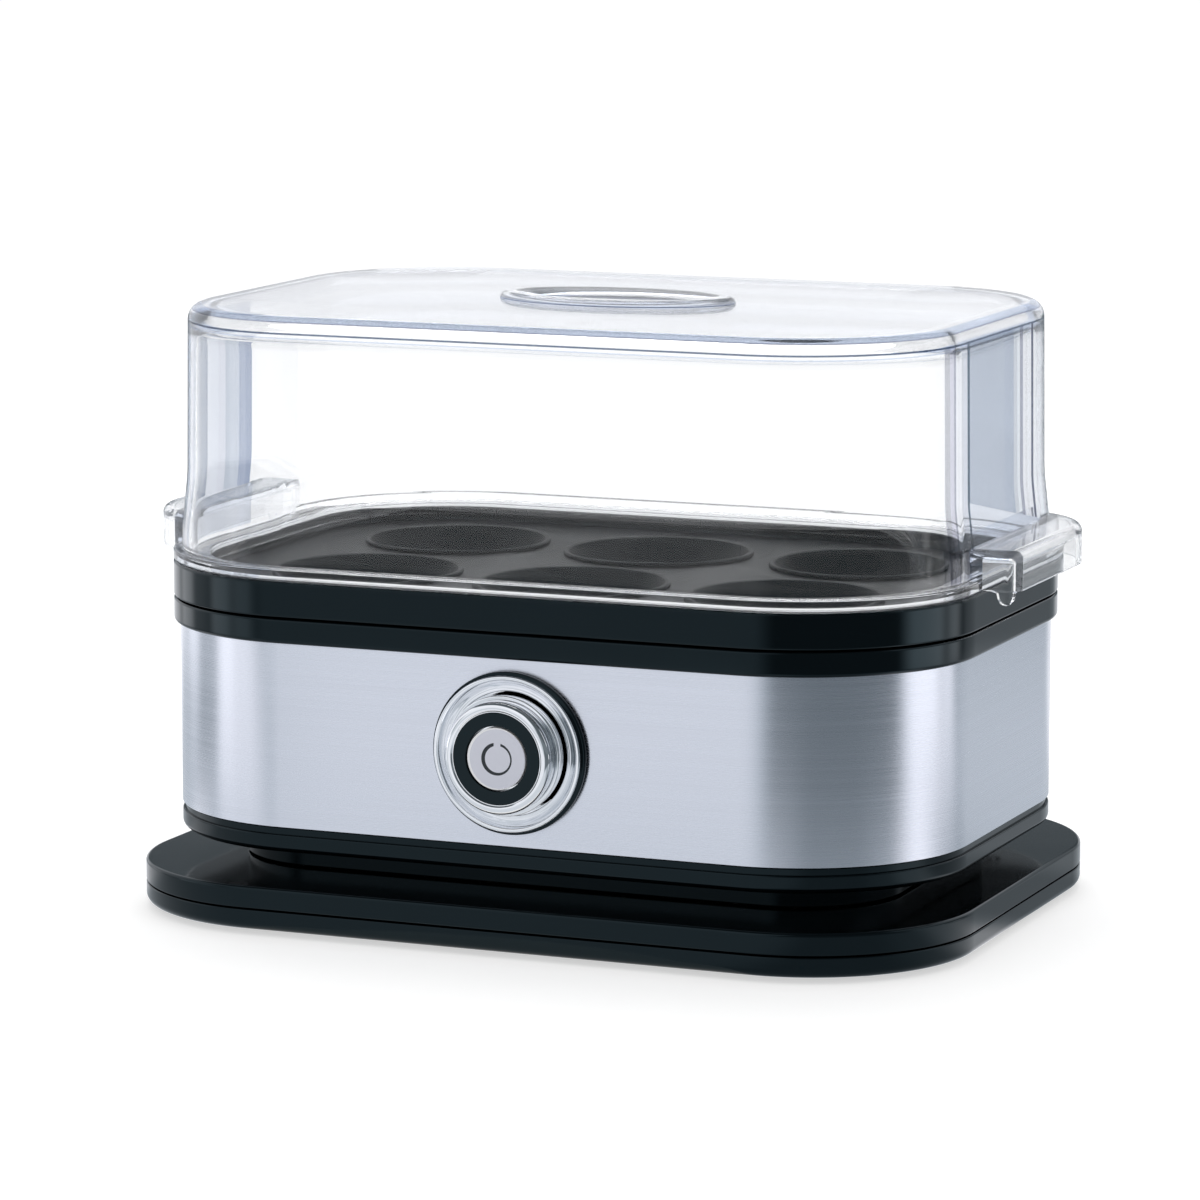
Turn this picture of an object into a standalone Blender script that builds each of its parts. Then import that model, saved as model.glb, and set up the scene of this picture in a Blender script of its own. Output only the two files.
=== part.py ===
"""Electric egg cooker for six eggs: a clear lid over an egg tray, on a steel-wrapped heater body
that a round neck carries above a flat two-layer stand.

Metres, +Z up. +X runs along the front to the right, -Y is the front with the power button.
Outlines are rounded rectangles round the Z axis. Most of them are the body's outline grown or
shrunk, so a profile is a list of (grow, z) points: how far outside the body's side, and how high.
"""

import math

import bmesh
import bpy
from mathutils import Vector

# Play between pieces
SEAT_GAP = 0.0003  # between two pieces that rest against each other
LIFT_GAP = 0.0004  # round a piece that lifts out
SCREW_PLAY = 0.0003  # round a screw's shank
OVERRUN = 0.0020  # how far a cutter runs past the face that it opens

# Counts that set how fine the round stretches are
CORNER_STEPS = 6
EDGE_STEPS = 2
ROUND_SIDES = 28
CUP_SIDES = 18
OVAL_SIDES = 24
SMALL_SIDES = 8

# Body, in plan
BODY_LENGTH = 0.1770
BODY_WIDTH = 0.1240
BODY_CORNER = 0.0373
LEAST_CORNER_SHARE = 0.04

# Heights, from the table up
FOOT_PROUD = 0.0012
PAN_HEIGHT = 0.0044
DECK_HEIGHT = 0.0047
NECK_ROOM = 0.0060
TRIM_HEIGHT = 0.0038
REVEAL_HEIGHT = 0.0016
STEEL_SHOWING = 0.0394
BEZEL_HEIGHT = 0.0053
RIM_HEIGHT = 0.0076
LID_HEIGHT = 0.0547

# Stand: a hollow pan under a hollow deck
STAND_PAST_ENDS = 0.0047
STAND_PAST_SIDES = 0.0080
STAND_CORNER = 0.0366
STAND_WALL = 0.0024
STAND_SKIN = 0.0020
STAND_BOTTOM_ROUND = 0.0018
STAND_TOP_CHAMFER = 0.0008
STAND_SEAM_CHAMFER = 0.0003

# Rubber feet, set into pockets of the stand's pan
FOOT_RADIUS = 0.0065
FOOT_SINK = 0.0010
FOOT_INSET = 0.0120
FOOT_TAPER_SHARE = 0.92

# Neck between stand and body, where the cord is wound away
NECK_INSET = 0.0140
NECK_WALL = 0.0030
NECK_BOSS_INSET = 0.0055

# Screws
SCREW_RADIUS = 0.0012
SCREW_HEAD_RADIUS = 0.0028
SCREW_HEAD_HEIGHT = 0.0016
SCREW_DRIVE_SHARE = 0.45
SCREW_BITE = 0.0080
BOSS_RADIUS = 0.0040
HEAD_SINK = 0.0020

# Body pan: the lower black trim with the spigot that centres the steel
PAN_FLOOR = 0.0020
PAN_BOTTOM_ROUND = 0.0014
PAN_EDGE_CHAMFER = 0.0003
PAN_SPIGOT_WALL = 0.0018
PAN_SPIGOT_HEIGHT = 0.0045
REVEAL_DEPTH = 0.0006
PAN_BOSS_RISE = 0.0060

# Steel wrap
STEEL_SHEET = 0.0008
STEEL_TUCK = 0.0020

# Upper bands: heater bezel below, tray rim above
BAND_OVERHANG = 0.0014
BEZEL_ROUND = 0.0009
BAND_EDGE = 0.0005
BEZEL_LEDGE = 0.0020
BEZEL_LEDGE_DROP = 0.0045
DISH_FLANGE_INSET = 0.0085
DISH_INSET = 0.0160
POST_INSET = 0.0103
POST_TIP_SHARE = 0.88

# Heating dish, its gasket and the heater under it
DISH_SHEET = 0.0008
DISH_DEPTH = 0.0140
DISH_BEND = 0.0016
DISH_FLOOR_ROUND = 0.0030
DISH_DRAFT = 0.0020
DISH_WELL_INSET = 0.0330
DISH_WELL_DEPTH = 0.0010
GASKET_THICKNESS = 0.0008
HEATER_THICKNESS = 0.0050
HEATER_EDGE = 0.0010
ELEMENT_RADIUS = 0.0032
ELEMENT_INSET_SHARE = 0.6154
ELEMENT_TAIL_SPACING = 0.0160
ELEMENT_TAIL_DROP = 0.0070
ELEMENT_BEND = 0.0040

# Strap that presses the thermostat up, hung from the bezel
STRAP_WIDTH = 0.0140
STRAP_SHEET = 0.0012
STRAP_BOSS_RISE = 0.0040
STRAP_TAB = 0.0090
STRAP_SLOPE = 0.0090
THERMOSTAT_RADIUS = 0.0085
THERMOSTAT_HEIGHT = 0.0090
THERMOSTAT_RIM = 0.0010
BLADE_REACH = 0.0045
BLADE_WIDTH = 0.0048
BLADE_SHEET = 0.0008
FUSE_RADIUS = 0.0022
FUSE_LENGTH = 0.0180
FUSE_OFFSET = 0.0300
CLIP_SHEET = 0.0008
CLIP_WIDTH = 0.0060
CLIP_FOOT = 0.0040

# Power button: a chrome dish on the steel, and a barrel that is pressed into it
BUTTON_HEIGHT_SHARE = 0.505
BUTTON_TRAVEL = 0.0025
BUTTON_PROUD = 0.0080
BUTTON_OFFSET = 0.0018
BARREL_RADIUS = 0.0126
BARREL_NOSE_RADIUS = 0.0118
BARREL_NOSE_ROUND = 0.0012
BARREL_WALL = 0.0015
BARREL_WEB = 0.0020
BARREL_GROOVE = 0.0003
BARREL_GROOVE_WIDTH = 0.0006
BARREL_TAIL = 0.0015
RING_RADIUS = 0.0097
RING_DEPTH = 0.0014
RING_BACKSET = 0.0002
CAP_RADIUS = 0.0065
CAP_CROWN = 0.0002
CAP_FLAT_SHARE = 0.72
COLLAR_RADIUS = 0.0171
COLLAR_BASE_HEIGHT = 0.0014
COLLAR_LIP_RADIUS = 0.0164
COLLAR_LIP_HEIGHT = 0.0027
COLLAR_LIP_WIDTH = 0.0007
COLLAR_DISH_DEPTH = 0.0018
SLEEVE_WALL = 0.0011
SLEEVE_LENGTH = 0.0080
SLEEVE_END_WALL = 0.0015
NUT_WIDTH = 0.0020
NUT_THICKNESS = 0.0030
STEM_RADIUS = 0.0030
STEM_TIP_RADIUS = 0.0024
STEM_FLANGE_HEIGHT = 0.0012
STEM_STOP_RADIUS = 0.0050
STEM_STOP_HEIGHT = 0.0015
STEM_IN_SWITCH = 0.0025
SPRING_WIRE_RADIUS = 0.0004
SPRING_RADIUS = 0.0046
SPRING_TURNS = 5
SPRING_POINTS_PER_TURN = 8

# Push switch, its bracket and the terminal block
SWITCH_WIDTH = 0.0140
SWITCH_HEIGHT = 0.0120
SWITCH_LENGTH = 0.0160
SWITCH_BACK_WALL = 0.0020
SWITCH_LUG_REACH = 0.0030
SWITCH_LUG_WIDTH = 0.0030
SWITCH_LUG_SPACING = 0.0060
SWITCH_LUG_SHARE = 0.25
BRACKET_SHEET = 0.0012
BRACKET_WIDTH = 0.0180
BRACKET_FOOT = 0.0120
TERMINAL_LENGTH = 0.0240
TERMINAL_WIDTH = 0.0120
TERMINAL_HEIGHT = 0.0110
TERMINAL_WELL_RADIUS = 0.0024
TERMINAL_WELL_DEPTH = 0.0060
TERMINAL_WAYS = 3
TERMINAL_INSET = 0.0180
CASE_EDGE = 0.0006
WIRE_RADIUS = 0.0010
WIRE_LANE = 0.0060
WIRE_STEPS = 3

# Cord gland at the rear
GLAND_SHORT = 0.0132
GLAND_HEIGHT_SHARE = 0.28
GLAND_BORE_RADIUS = 0.0034
GLAND_RADIUS = 0.0052
GLAND_FLANGE_RADIUS = 0.0072
GLAND_FLANGE_HEIGHT = 0.0016
GLAND_TAIL = 0.0050

# Egg tray
TRAY_SKIRT_WALL = 0.0022
TRAY_LEDGE = 0.0064
TRAY_INNER_WALL = 0.0020
TRAY_DECK_DROP = 0.0034
TRAY_DECK = 0.0020
TRAY_FILLET = 0.0010
TRAY_SPIGOT_WALL = 0.0016
TRAY_SPIGOT_DROP = 0.0043
CUP_DRAW_IN_ENDS = 0.0032
CUP_DRAW_IN_SIDES = 0.0007
CUP_LAND = 0.0044
CUP_FUNNEL = 0.0044
CUP_WALL = 0.0014
CUP_LIP_RISE = 0.0010
CUP_DEPTH = 0.0085

# Clear lid
LID_WALL = 0.0020
LID_ROOF = 0.0023
LID_ROOF_ROUND = 0.0034
LID_TOP_INSET = 0.0023
LID_WALL_INSET = 0.0018
LID_SKIRT_INSET = 0.0005
LID_SKIRT_RISE = 0.0063
LID_STEP_RISE = 0.0025
LID_FLANGE = 0.0023
LID_FLANGE_EDGE = 0.0005
LID_INNER_FLANGE = 0.0014
LID_SPIGOT_WALL = 0.0012
LID_SPIGOT_DROP = 0.0020
PAD_LENGTH = 0.0532
PAD_WIDTH = 0.0310
PAD_RISE = 0.0015
PAD_SLOPE = 0.0018
DISH_RIM = 0.0016
VALLEY_LENGTH = 0.0340
VALLEY_WIDTH = 0.0020
VALLEY_DEPTH = 0.0016

# Lid handles, one at each end, with a hanging tongue on one corner of each
HANDLE_REACH = 0.0086
HANDLE_SQUARE_SHORT = 0.0014
HANDLE_SWEPT_PAST = 0.0138
HANDLE_CORNER = 0.0030
HANDLE_SWEEP = 0.0220
HANDLE_RISE = 0.0089
HANDLE_HEIGHT = 0.0084
HANDLE_WALL = 0.0018
HANDLE_EDGE = 0.0018
TONGUE_WIDTH = 0.0045
TONGUE_DROP = 0.0024
TONGUE_INSET = 0.0001
# From the tip up: share of its height, share of its width off its left, where it ends (degrees)
TONGUE_LEVELS = (
    (0.00, 0.36, -80),
    (0.16, 0.12, -62),
    (0.45, 0.00, -48),
    (0.85, -0.06, -45),
    (1.05, -0.45, -30),
    (1.45, -0.45, -30),
)

# Levels worked out from the heights
PAN_TOP = FOOT_PROUD + PAN_HEIGHT
DECK_BOTTOM = PAN_TOP + SEAT_GAP
DECK_TOP = DECK_BOTTOM + DECK_HEIGHT
NECK_BOTTOM = DECK_TOP + SEAT_GAP
TRIM_BOTTOM = DECK_TOP + NECK_ROOM
NECK_TOP = TRIM_BOTTOM - SEAT_GAP
TRIM_TOP = TRIM_BOTTOM + TRIM_HEIGHT
FLOOR_TOP = TRIM_BOTTOM + PAN_FLOOR
STEEL_BOTTOM = TRIM_TOP + REVEAL_HEIGHT
BEZEL_BOTTOM = STEEL_BOTTOM + STEEL_SHOWING
BEZEL_TOP = BEZEL_BOTTOM + BEZEL_HEIGHT
STEEL_TOP = BEZEL_BOTTOM + STEEL_TUCK
LEDGE_TOP = BEZEL_TOP - BEZEL_LEDGE_DROP
LEDGE_BOTTOM = LEDGE_TOP - BEZEL_LEDGE
GASKET_BOTTOM = LEDGE_TOP + SEAT_GAP
FLANGE_SEAT = GASKET_BOTTOM + GASKET_THICKNESS + SEAT_GAP
DISH_TOP = FLANGE_SEAT + DISH_SHEET
DISH_FLOOR = DISH_TOP - DISH_DEPTH
WELL_FLOOR = DISH_FLOOR - DISH_WELL_DEPTH
HEATER_TOP = WELL_FLOOR - DISH_SHEET - SEAT_GAP
HEATER_BOTTOM = HEATER_TOP - HEATER_THICKNESS
THERMOSTAT_TOP = HEATER_BOTTOM - SEAT_GAP
THERMOSTAT_BOTTOM = THERMOSTAT_TOP - THERMOSTAT_HEIGHT
STRAP_TOP = THERMOSTAT_BOTTOM - SEAT_GAP
BUTTON_Z = STEEL_BOTTOM + STEEL_SHOWING * BUTTON_HEIGHT_SHARE
GLAND_Z = STEEL_BOTTOM + STEEL_SHOWING * GLAND_HEIGHT_SHARE
RIM_BOTTOM = BEZEL_TOP + SEAT_GAP
RIM_TOP = RIM_BOTTOM + RIM_HEIGHT
TRAY_FLOOR = RIM_TOP - TRAY_DECK_DROP
LID_BOTTOM = RIM_TOP + SEAT_GAP
LID_TOP = LID_BOTTOM + LID_HEIGHT
HANDLE_TOP = LID_BOTTOM + HANDLE_RISE

CORNERS = {
    "front_left": (-1, -1),
    "front_right": (1, -1),
    "rear_left": (-1, 1),
    "rear_right": (1, 1),
}


class Outline:
    """A rounded rectangle centred on the Z axis."""

    def __init__(self, half_x, half_y, corner):
        self.half_x = half_x
        self.half_y = half_y
        self.corner = corner

    def grown(self, by):
        """The outline offset outwards, or inwards where by is negative."""
        least = self.corner * LEAST_CORNER_SHARE
        return Outline(self.half_x + by, self.half_y + by, max(self.corner + by, least))

    def corner_centre(self):
        """Centre of the corner's arc in the +X, +Y quarter."""
        return self.half_x - self.corner, self.half_y - self.corner

    def ring(self, z):
        """Points round the outline at one height, anticlockwise from the +X side."""
        centre_x, centre_y = self.corner_centre()
        points = []
        for quarter, (side_x, side_y) in enumerate(((1, 1), (-1, 1), (-1, -1), (1, -1))):
            for step in range(CORNER_STEPS + 1):
                angle = math.pi / 2 * (quarter + step / CORNER_STEPS)
                x = side_x * centre_x + self.corner * math.cos(angle)
                y = side_y * centre_y + self.corner * math.sin(angle)
                points.append(Vector((x, y, z)))
        return points

    def corner_spot(self, side_x, side_y, inset):
        """A spot on a corner's diagonal, this far inside the arc."""
        centre_x, centre_y = self.corner_centre()
        reach = (self.corner - inset) / math.sqrt(2)
        return side_x * (centre_x + reach), side_y * (centre_y + reach)


BODY = Outline(BODY_LENGTH / 2, BODY_WIDTH / 2, BODY_CORNER)
STAND = Outline(
    BODY.half_x + STAND_PAST_ENDS, BODY.half_y + STAND_PAST_SIDES, STAND_CORNER
)
NECK = BODY.grown(-NECK_INSET)
HEATER = BODY.grown(-DISH_WELL_INSET - HEATER_EDGE)
ELEMENT_INSET = (HEATER.half_y - THERMOSTAT_RADIUS) * ELEMENT_INSET_SHARE
ELEMENT_LOOP = Outline(
    HEATER.half_x - ELEMENT_INSET,
    HEATER.half_y - ELEMENT_INSET,
    HEATER.half_y - ELEMENT_INSET - ELEMENT_BEND,
)


def arc(centre_across, centre_up, radius, start, end, steps=EDGE_STEPS):
    """Points of an arc in a profile's plane, between two angles in degrees."""
    points = []
    for step in range(steps + 1):
        angle = math.radians(start + (end - start) * step / steps)
        across = centre_across + radius * math.cos(angle)
        points.append((across, centre_up + radius * math.sin(angle)))
    return points


class Shape:
    """Closed surfaces collected in one mesh."""

    def __init__(self):
        self.mesh = bmesh.new()

    def rings(self, rings, closed=False):
        """Joins rings of equally many points. The ends are capped, or joined where closed."""
        loops = [[self.mesh.verts.new(point) for point in ring] for ring in rings]
        pairs = list(zip(loops, loops[1:]))
        if closed:
            pairs.append((loops[-1], loops[0]))
        else:
            self.mesh.faces.new(reversed(loops[0]))
            self.mesh.faces.new(loops[-1])
        for lower, upper in pairs:
            for index in range(len(lower)):
                after = (index + 1) % len(lower)
                corners = (lower[index], lower[after], upper[after], upper[index])
                self.mesh.faces.new(corners)
        return self

    def swept(self, outline, profile, closed=True):
        """Carries a (grow, z) profile round an outline."""
        return self.rings([outline.grown(grow).ring(z) for grow, z in profile], closed)

    def turned(self, profile, spot=(0, 0), sides=SMALL_SIDES, closed=False):
        """Turns a (radius, height) profile about an upright axis through a spot."""
        rings = []
        for radius, height in profile:
            ring = []
            for side in range(sides):
                angle = 2 * math.pi * side / sides
                x = spot[0] + radius * math.cos(angle)
                ring.append(Vector((x, spot[1] + radius * math.sin(angle), height)))
            rings.append(ring)
        return self.rings(rings, closed)

    def disc(self, spot, radius, low, high, sides=SMALL_SIDES):
        """An upright cylinder."""
        return self.turned([(radius, low), (radius, high)], spot, sides)

    def block(self, low, high):
        """A box between two corners."""
        (x0, y0, z0), (x1, y1, z1) = low, high
        plan = [(x0, y0), (x1, y0), (x1, y1), (x0, y1)]
        return self.rings([[Vector((x, y, z)) for x, y in plan] for z in (z0, z1)])

    def prism(self, points, low, high, across="x"):
        """Extrudes a flat outline of (y, z) points along X, or of (x, z) points along Y."""
        if across == "x":
            rings = [[Vector((at, y, z)) for y, z in points] for at in (low, high)]
        else:
            rings = [[Vector((x, at, z)) for x, z in points] for at in (low, high)]
        return self.rings(rings)

    def bevelled(self, width):
        """Chamfers every edge."""
        edges = list(self.mesh.edges)
        bmesh.ops.bevel(self.mesh, geom=edges, offset=width, segments=1, affect="EDGES")
        return self

    def to_object(self, name, finish=None, location=(0, 0, 0), facing_front=False):
        """Makes the object. One facing the front has its local Z turned to -Y."""
        bmesh.ops.recalc_face_normals(self.mesh, faces=self.mesh.faces)
        data = bpy.data.meshes.new(name)
        self.mesh.to_mesh(data)
        self.mesh.free()
        data.shade_smooth()
        data.set_sharp_from_angle(angle=math.radians(35))
        item = bpy.data.objects.new(name, data)
        bpy.context.scene.collection.objects.link(item)
        item.location = location
        if facing_front:
            item.rotation_euler = (math.pi / 2, 0, 0)
        if finish:
            data.materials.append(finish)
        return item

    def to_helper(self, name, like=None):
        """Makes a hidden object for a Boolean, placed like the piece that it shapes."""
        item = self.to_object(name)
        item.hide_render = True
        item.display_type = "WIRE"
        if like:
            item.location = like.location
            item.rotation_euler = like.rotation_euler
        return item


def boolean(item, operation, helper):
    """Adds a Boolean modifier with a helper shape."""
    modifier = item.modifiers.new(helper.name, "BOOLEAN")
    modifier.operation = operation
    modifier.object = helper
    modifier.solver = "EXACT"


def finish(name, colour, roughness, metallic=0.0, transmission=0.0):
    """A Principled material."""
    material = bpy.data.materials.new(name)
    material.use_nodes = True
    shader = material.node_tree.nodes["Principled BSDF"]
    shader.inputs["Base Color"].default_value = (*colour, 1)
    shader.inputs["Roughness"].default_value = roughness
    shader.inputs["Metallic"].default_value = metallic
    shader.inputs["Transmission Weight"].default_value = transmission
    material.diffuse_color = (*colour, 1)
    return material


def tube(name, points, radius, material, sides_step=0):
    """A round bar along a polyline, with capped ends and 4 + 2 * sides_step sides."""
    curve = bpy.data.curves.new(name, "CURVE")
    curve.dimensions = "3D"
    curve.bevel_depth = radius
    curve.bevel_resolution = sides_step
    curve.use_fill_caps = True
    spline = curve.splines.new("POLY")
    spline.points.add(len(points) - 1)
    for target, point in zip(spline.points, points):
        target.co = (*point, 1)
    curve.materials.append(material)
    item = bpy.data.objects.new(name, curve)
    bpy.context.scene.collection.objects.link(item)
    return item


def smooth_route(points, steps=WIRE_STEPS):
    """Points read from a Catmull-Rom curve through the given ones."""
    points = [Vector(point) for point in points]
    padded = [2 * points[0] - points[1], *points, 2 * points[-1] - points[-2]]
    route = []
    for before, start, end, after in zip(padded, padded[1:], padded[2:], padded[3:]):
        for step in range(steps):
            t = step / steps
            route.append(
                0.5
                * (
                    2 * start
                    + (end - before) * t
                    + (2 * before - 5 * start + 4 * end - after) * t**2
                    + (3 * start - before - 3 * end + after) * t**3
                )
            )
    return [*route, points[-1]]


def strip(points, thickness):
    """The outline of a bent sheet whose middle runs through the given points."""
    middle = [Vector(point) for point in points]
    sides = ([], [])
    for index, point in enumerate(middle):
        before = point - middle[index - 1] if index else middle[1] - point
        after = middle[index + 1] - point if index + 1 < len(middle) else before
        before, after = before.normalized(), after.normalized()
        normal = Vector((-before.y - after.y, before.x + after.x)).normalized()
        reach = thickness / 2 / normal.dot(Vector((-before.y, before.x)))
        sides[0].append(tuple(point + normal * reach))
        sides[1].append(tuple(point - normal * reach))
    return sides[0] + sides[1][::-1]


def screw(name, spot, head_bottom, length, material):
    """A pan-head screw, head down, with a drive socket in its head."""
    drive = SCREW_HEAD_RADIUS * SCREW_DRIVE_SHARE
    head_top = head_bottom + SCREW_HEAD_HEIGHT
    profile = [
        (drive, head_bottom + SCREW_HEAD_HEIGHT / 2),
        (drive, head_bottom),
        (SCREW_HEAD_RADIUS - SCREW_HEAD_HEIGHT / 2, head_bottom),
        (SCREW_HEAD_RADIUS, head_bottom + SCREW_HEAD_HEIGHT / 2),
        (SCREW_HEAD_RADIUS, head_top),
        (SCREW_RADIUS, head_top),
        (SCREW_RADIUS, head_top + length - SCREW_RADIUS),
        (SCREW_RADIUS / 2, head_top + length),
    ]
    return Shape().turned(profile, spot).to_object(name, material)


def clear_scene():
    """Removes what the scene holds."""
    for item in list(bpy.data.objects):
        bpy.data.objects.remove(item)


def make_finishes():
    """The materials, by name."""
    return {
        "black": finish("black_gloss_plastic", (0.012, 0.016, 0.018), 0.22),
        "tray": finish("black_satin_plastic", (0.016, 0.018, 0.020), 0.38),
        "clear": finish("clear_plastic", (0.92, 0.95, 0.98), 0.04, 0.0, 1.0),
        "steel": finish("brushed_steel", (0.62, 0.64, 0.67), 0.30, 1.0),
        "chrome": finish("chrome", (0.86, 0.87, 0.88), 0.06, 1.0),
        "silver": finish("satin_silver", (0.70, 0.71, 0.75), 0.35, 0.8),
        "dish": finish("dish_steel", (0.66, 0.66, 0.66), 0.24, 1.0),
        "aluminium": finish("cast_aluminium", (0.60, 0.61, 0.62), 0.45, 1.0),
        "zinc": finish("zinc_plated_steel", (0.55, 0.56, 0.58), 0.38, 1.0),
        "rubber": finish("black_rubber", (0.020, 0.020, 0.021), 0.75),
        "silicone": finish("grey_silicone", (0.42, 0.43, 0.44), 0.60),
        "casing": finish("white_nylon", (0.74, 0.73, 0.69), 0.50),
        "sleeve": finish("glass_sleeve", (0.80, 0.78, 0.70), 0.70),
        "wire": finish("wire_insulation", (0.30, 0.05, 0.04), 0.50),
    }


def neck_screw_spot(side_x, side_y):
    """Where a stand screw stands: inside the neck's corner, in its boss."""
    return NECK.corner_spot(side_x, side_y, NECK_BOSS_INSET)


def post_spot(side_x, side_y):
    """Where a housing screw stands: on the corner's diagonal, inside the steel."""
    return BODY.corner_spot(side_x, side_y, POST_INSET)


def foot_spot(side_x, side_y):
    """Where a rubber foot stands, near the stand's corner."""
    return STAND.corner_spot(side_x, side_y, FOOT_INSET)


def make_stand(finishes):
    """Feet, hollow pan, hollow deck and the neck above them, with the four stand screws."""
    pan_profile = [
        *arc(-STAND_BOTTOM_ROUND, FOOT_PROUD + STAND_BOTTOM_ROUND, STAND_BOTTOM_ROUND, -90, 0),
        (0, PAN_TOP - STAND_SEAM_CHAMFER),
        (-STAND_SEAM_CHAMFER, PAN_TOP),
        (-STAND_WALL, PAN_TOP),
        (-STAND_WALL, FOOT_PROUD + STAND_SKIN),
    ]
    pan = Shape().swept(STAND, pan_profile, closed=False)
    pan = pan.to_object("stand_pan", finishes["black"])
    deck_profile = [
        (-STAND_WALL, DECK_TOP - STAND_SKIN),
        (-STAND_WALL, DECK_BOTTOM),
        (-STAND_SEAM_CHAMFER, DECK_BOTTOM),
        (0, DECK_BOTTOM + STAND_SEAM_CHAMFER),
        (0, DECK_TOP - STAND_TOP_CHAMFER),
        (-STAND_TOP_CHAMFER, DECK_TOP),
    ]
    deck = Shape().swept(STAND, deck_profile, closed=False)
    deck = deck.to_object("stand_deck", finishes["black"])
    neck_profile = [
        (-NECK_WALL, NECK_BOTTOM),
        (0, NECK_BOTTOM),
        (0, NECK_TOP),
        (-NECK_WALL, NECK_TOP),
    ]
    neck = Shape().swept(NECK, neck_profile)
    neck = neck.to_object("neck_ring", finishes["black"])

    pan_bosses, deck_bosses, neck_bosses = Shape(), Shape(), Shape()
    pan_holes, deck_holes, neck_holes = Shape(), Shape(), Shape()
    hole = SCREW_RADIUS + SCREW_PLAY
    skin = STAND_SKIN / 2
    for side_x, side_y in CORNERS.values():
        spot = neck_screw_spot(side_x, side_y)
        pan_bosses.disc(spot, BOSS_RADIUS, FOOT_PROUD + skin, PAN_TOP)
        deck_bosses.disc(spot, BOSS_RADIUS, DECK_BOTTOM, DECK_TOP - skin)
        neck_bosses.disc(spot, BOSS_RADIUS, NECK_BOTTOM, NECK_TOP)
        head_room = SCREW_HEAD_RADIUS + SCREW_PLAY
        pan_holes.turned(
            [
                (head_room, FOOT_PROUD - OVERRUN),
                (head_room, FOOT_PROUD + HEAD_SINK),
                (hole, FOOT_PROUD + HEAD_SINK),
                (hole, PAN_TOP + OVERRUN),
            ],
            spot,
        )
        deck_holes.disc(spot, hole, DECK_BOTTOM - OVERRUN, DECK_TOP + OVERRUN)
        neck_holes.disc(spot, hole, NECK_BOTTOM - OVERRUN, NECK_TOP + OVERRUN)
        pocket = FOOT_RADIUS + SEAT_GAP
        low, high = FOOT_PROUD - OVERRUN, FOOT_PROUD + FOOT_SINK
        pan_holes.disc(foot_spot(side_x, side_y), pocket, low, high, CUP_SIDES)
    for item, bosses, holes in (
        (pan, pan_bosses, pan_holes),
        (deck, deck_bosses, deck_holes),
        (neck, neck_bosses, neck_holes),
    ):
        boolean(item, "UNION", bosses.to_helper(item.name + "_bosses"))
        boolean(item, "DIFFERENCE", holes.to_helper(item.name + "_holes"))

    seat = FOOT_PROUD + FOOT_SINK - SEAT_GAP
    edge = FOOT_RADIUS * (1 - FOOT_TAPER_SHARE)
    head_bottom = FOOT_PROUD + HEAD_SINK - SCREW_HEAD_HEIGHT - SEAT_GAP
    reach = TRIM_BOTTOM + SCREW_BITE - PAN_FLOOR - FOOT_PROUD - HEAD_SINK
    for corner, (side_x, side_y) in CORNERS.items():
        profile = [
            (FOOT_RADIUS * FOOT_TAPER_SHARE, 0),
            (FOOT_RADIUS, edge),
            (FOOT_RADIUS, seat),
        ]
        foot = Shape().turned(profile, foot_spot(side_x, side_y), CUP_SIDES)
        foot.to_object("foot_" + corner, finishes["rubber"])
        spot = neck_screw_spot(side_x, side_y)
        screw("stand_screw_" + corner, spot, head_bottom, reach, finishes["zinc"])


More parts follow.
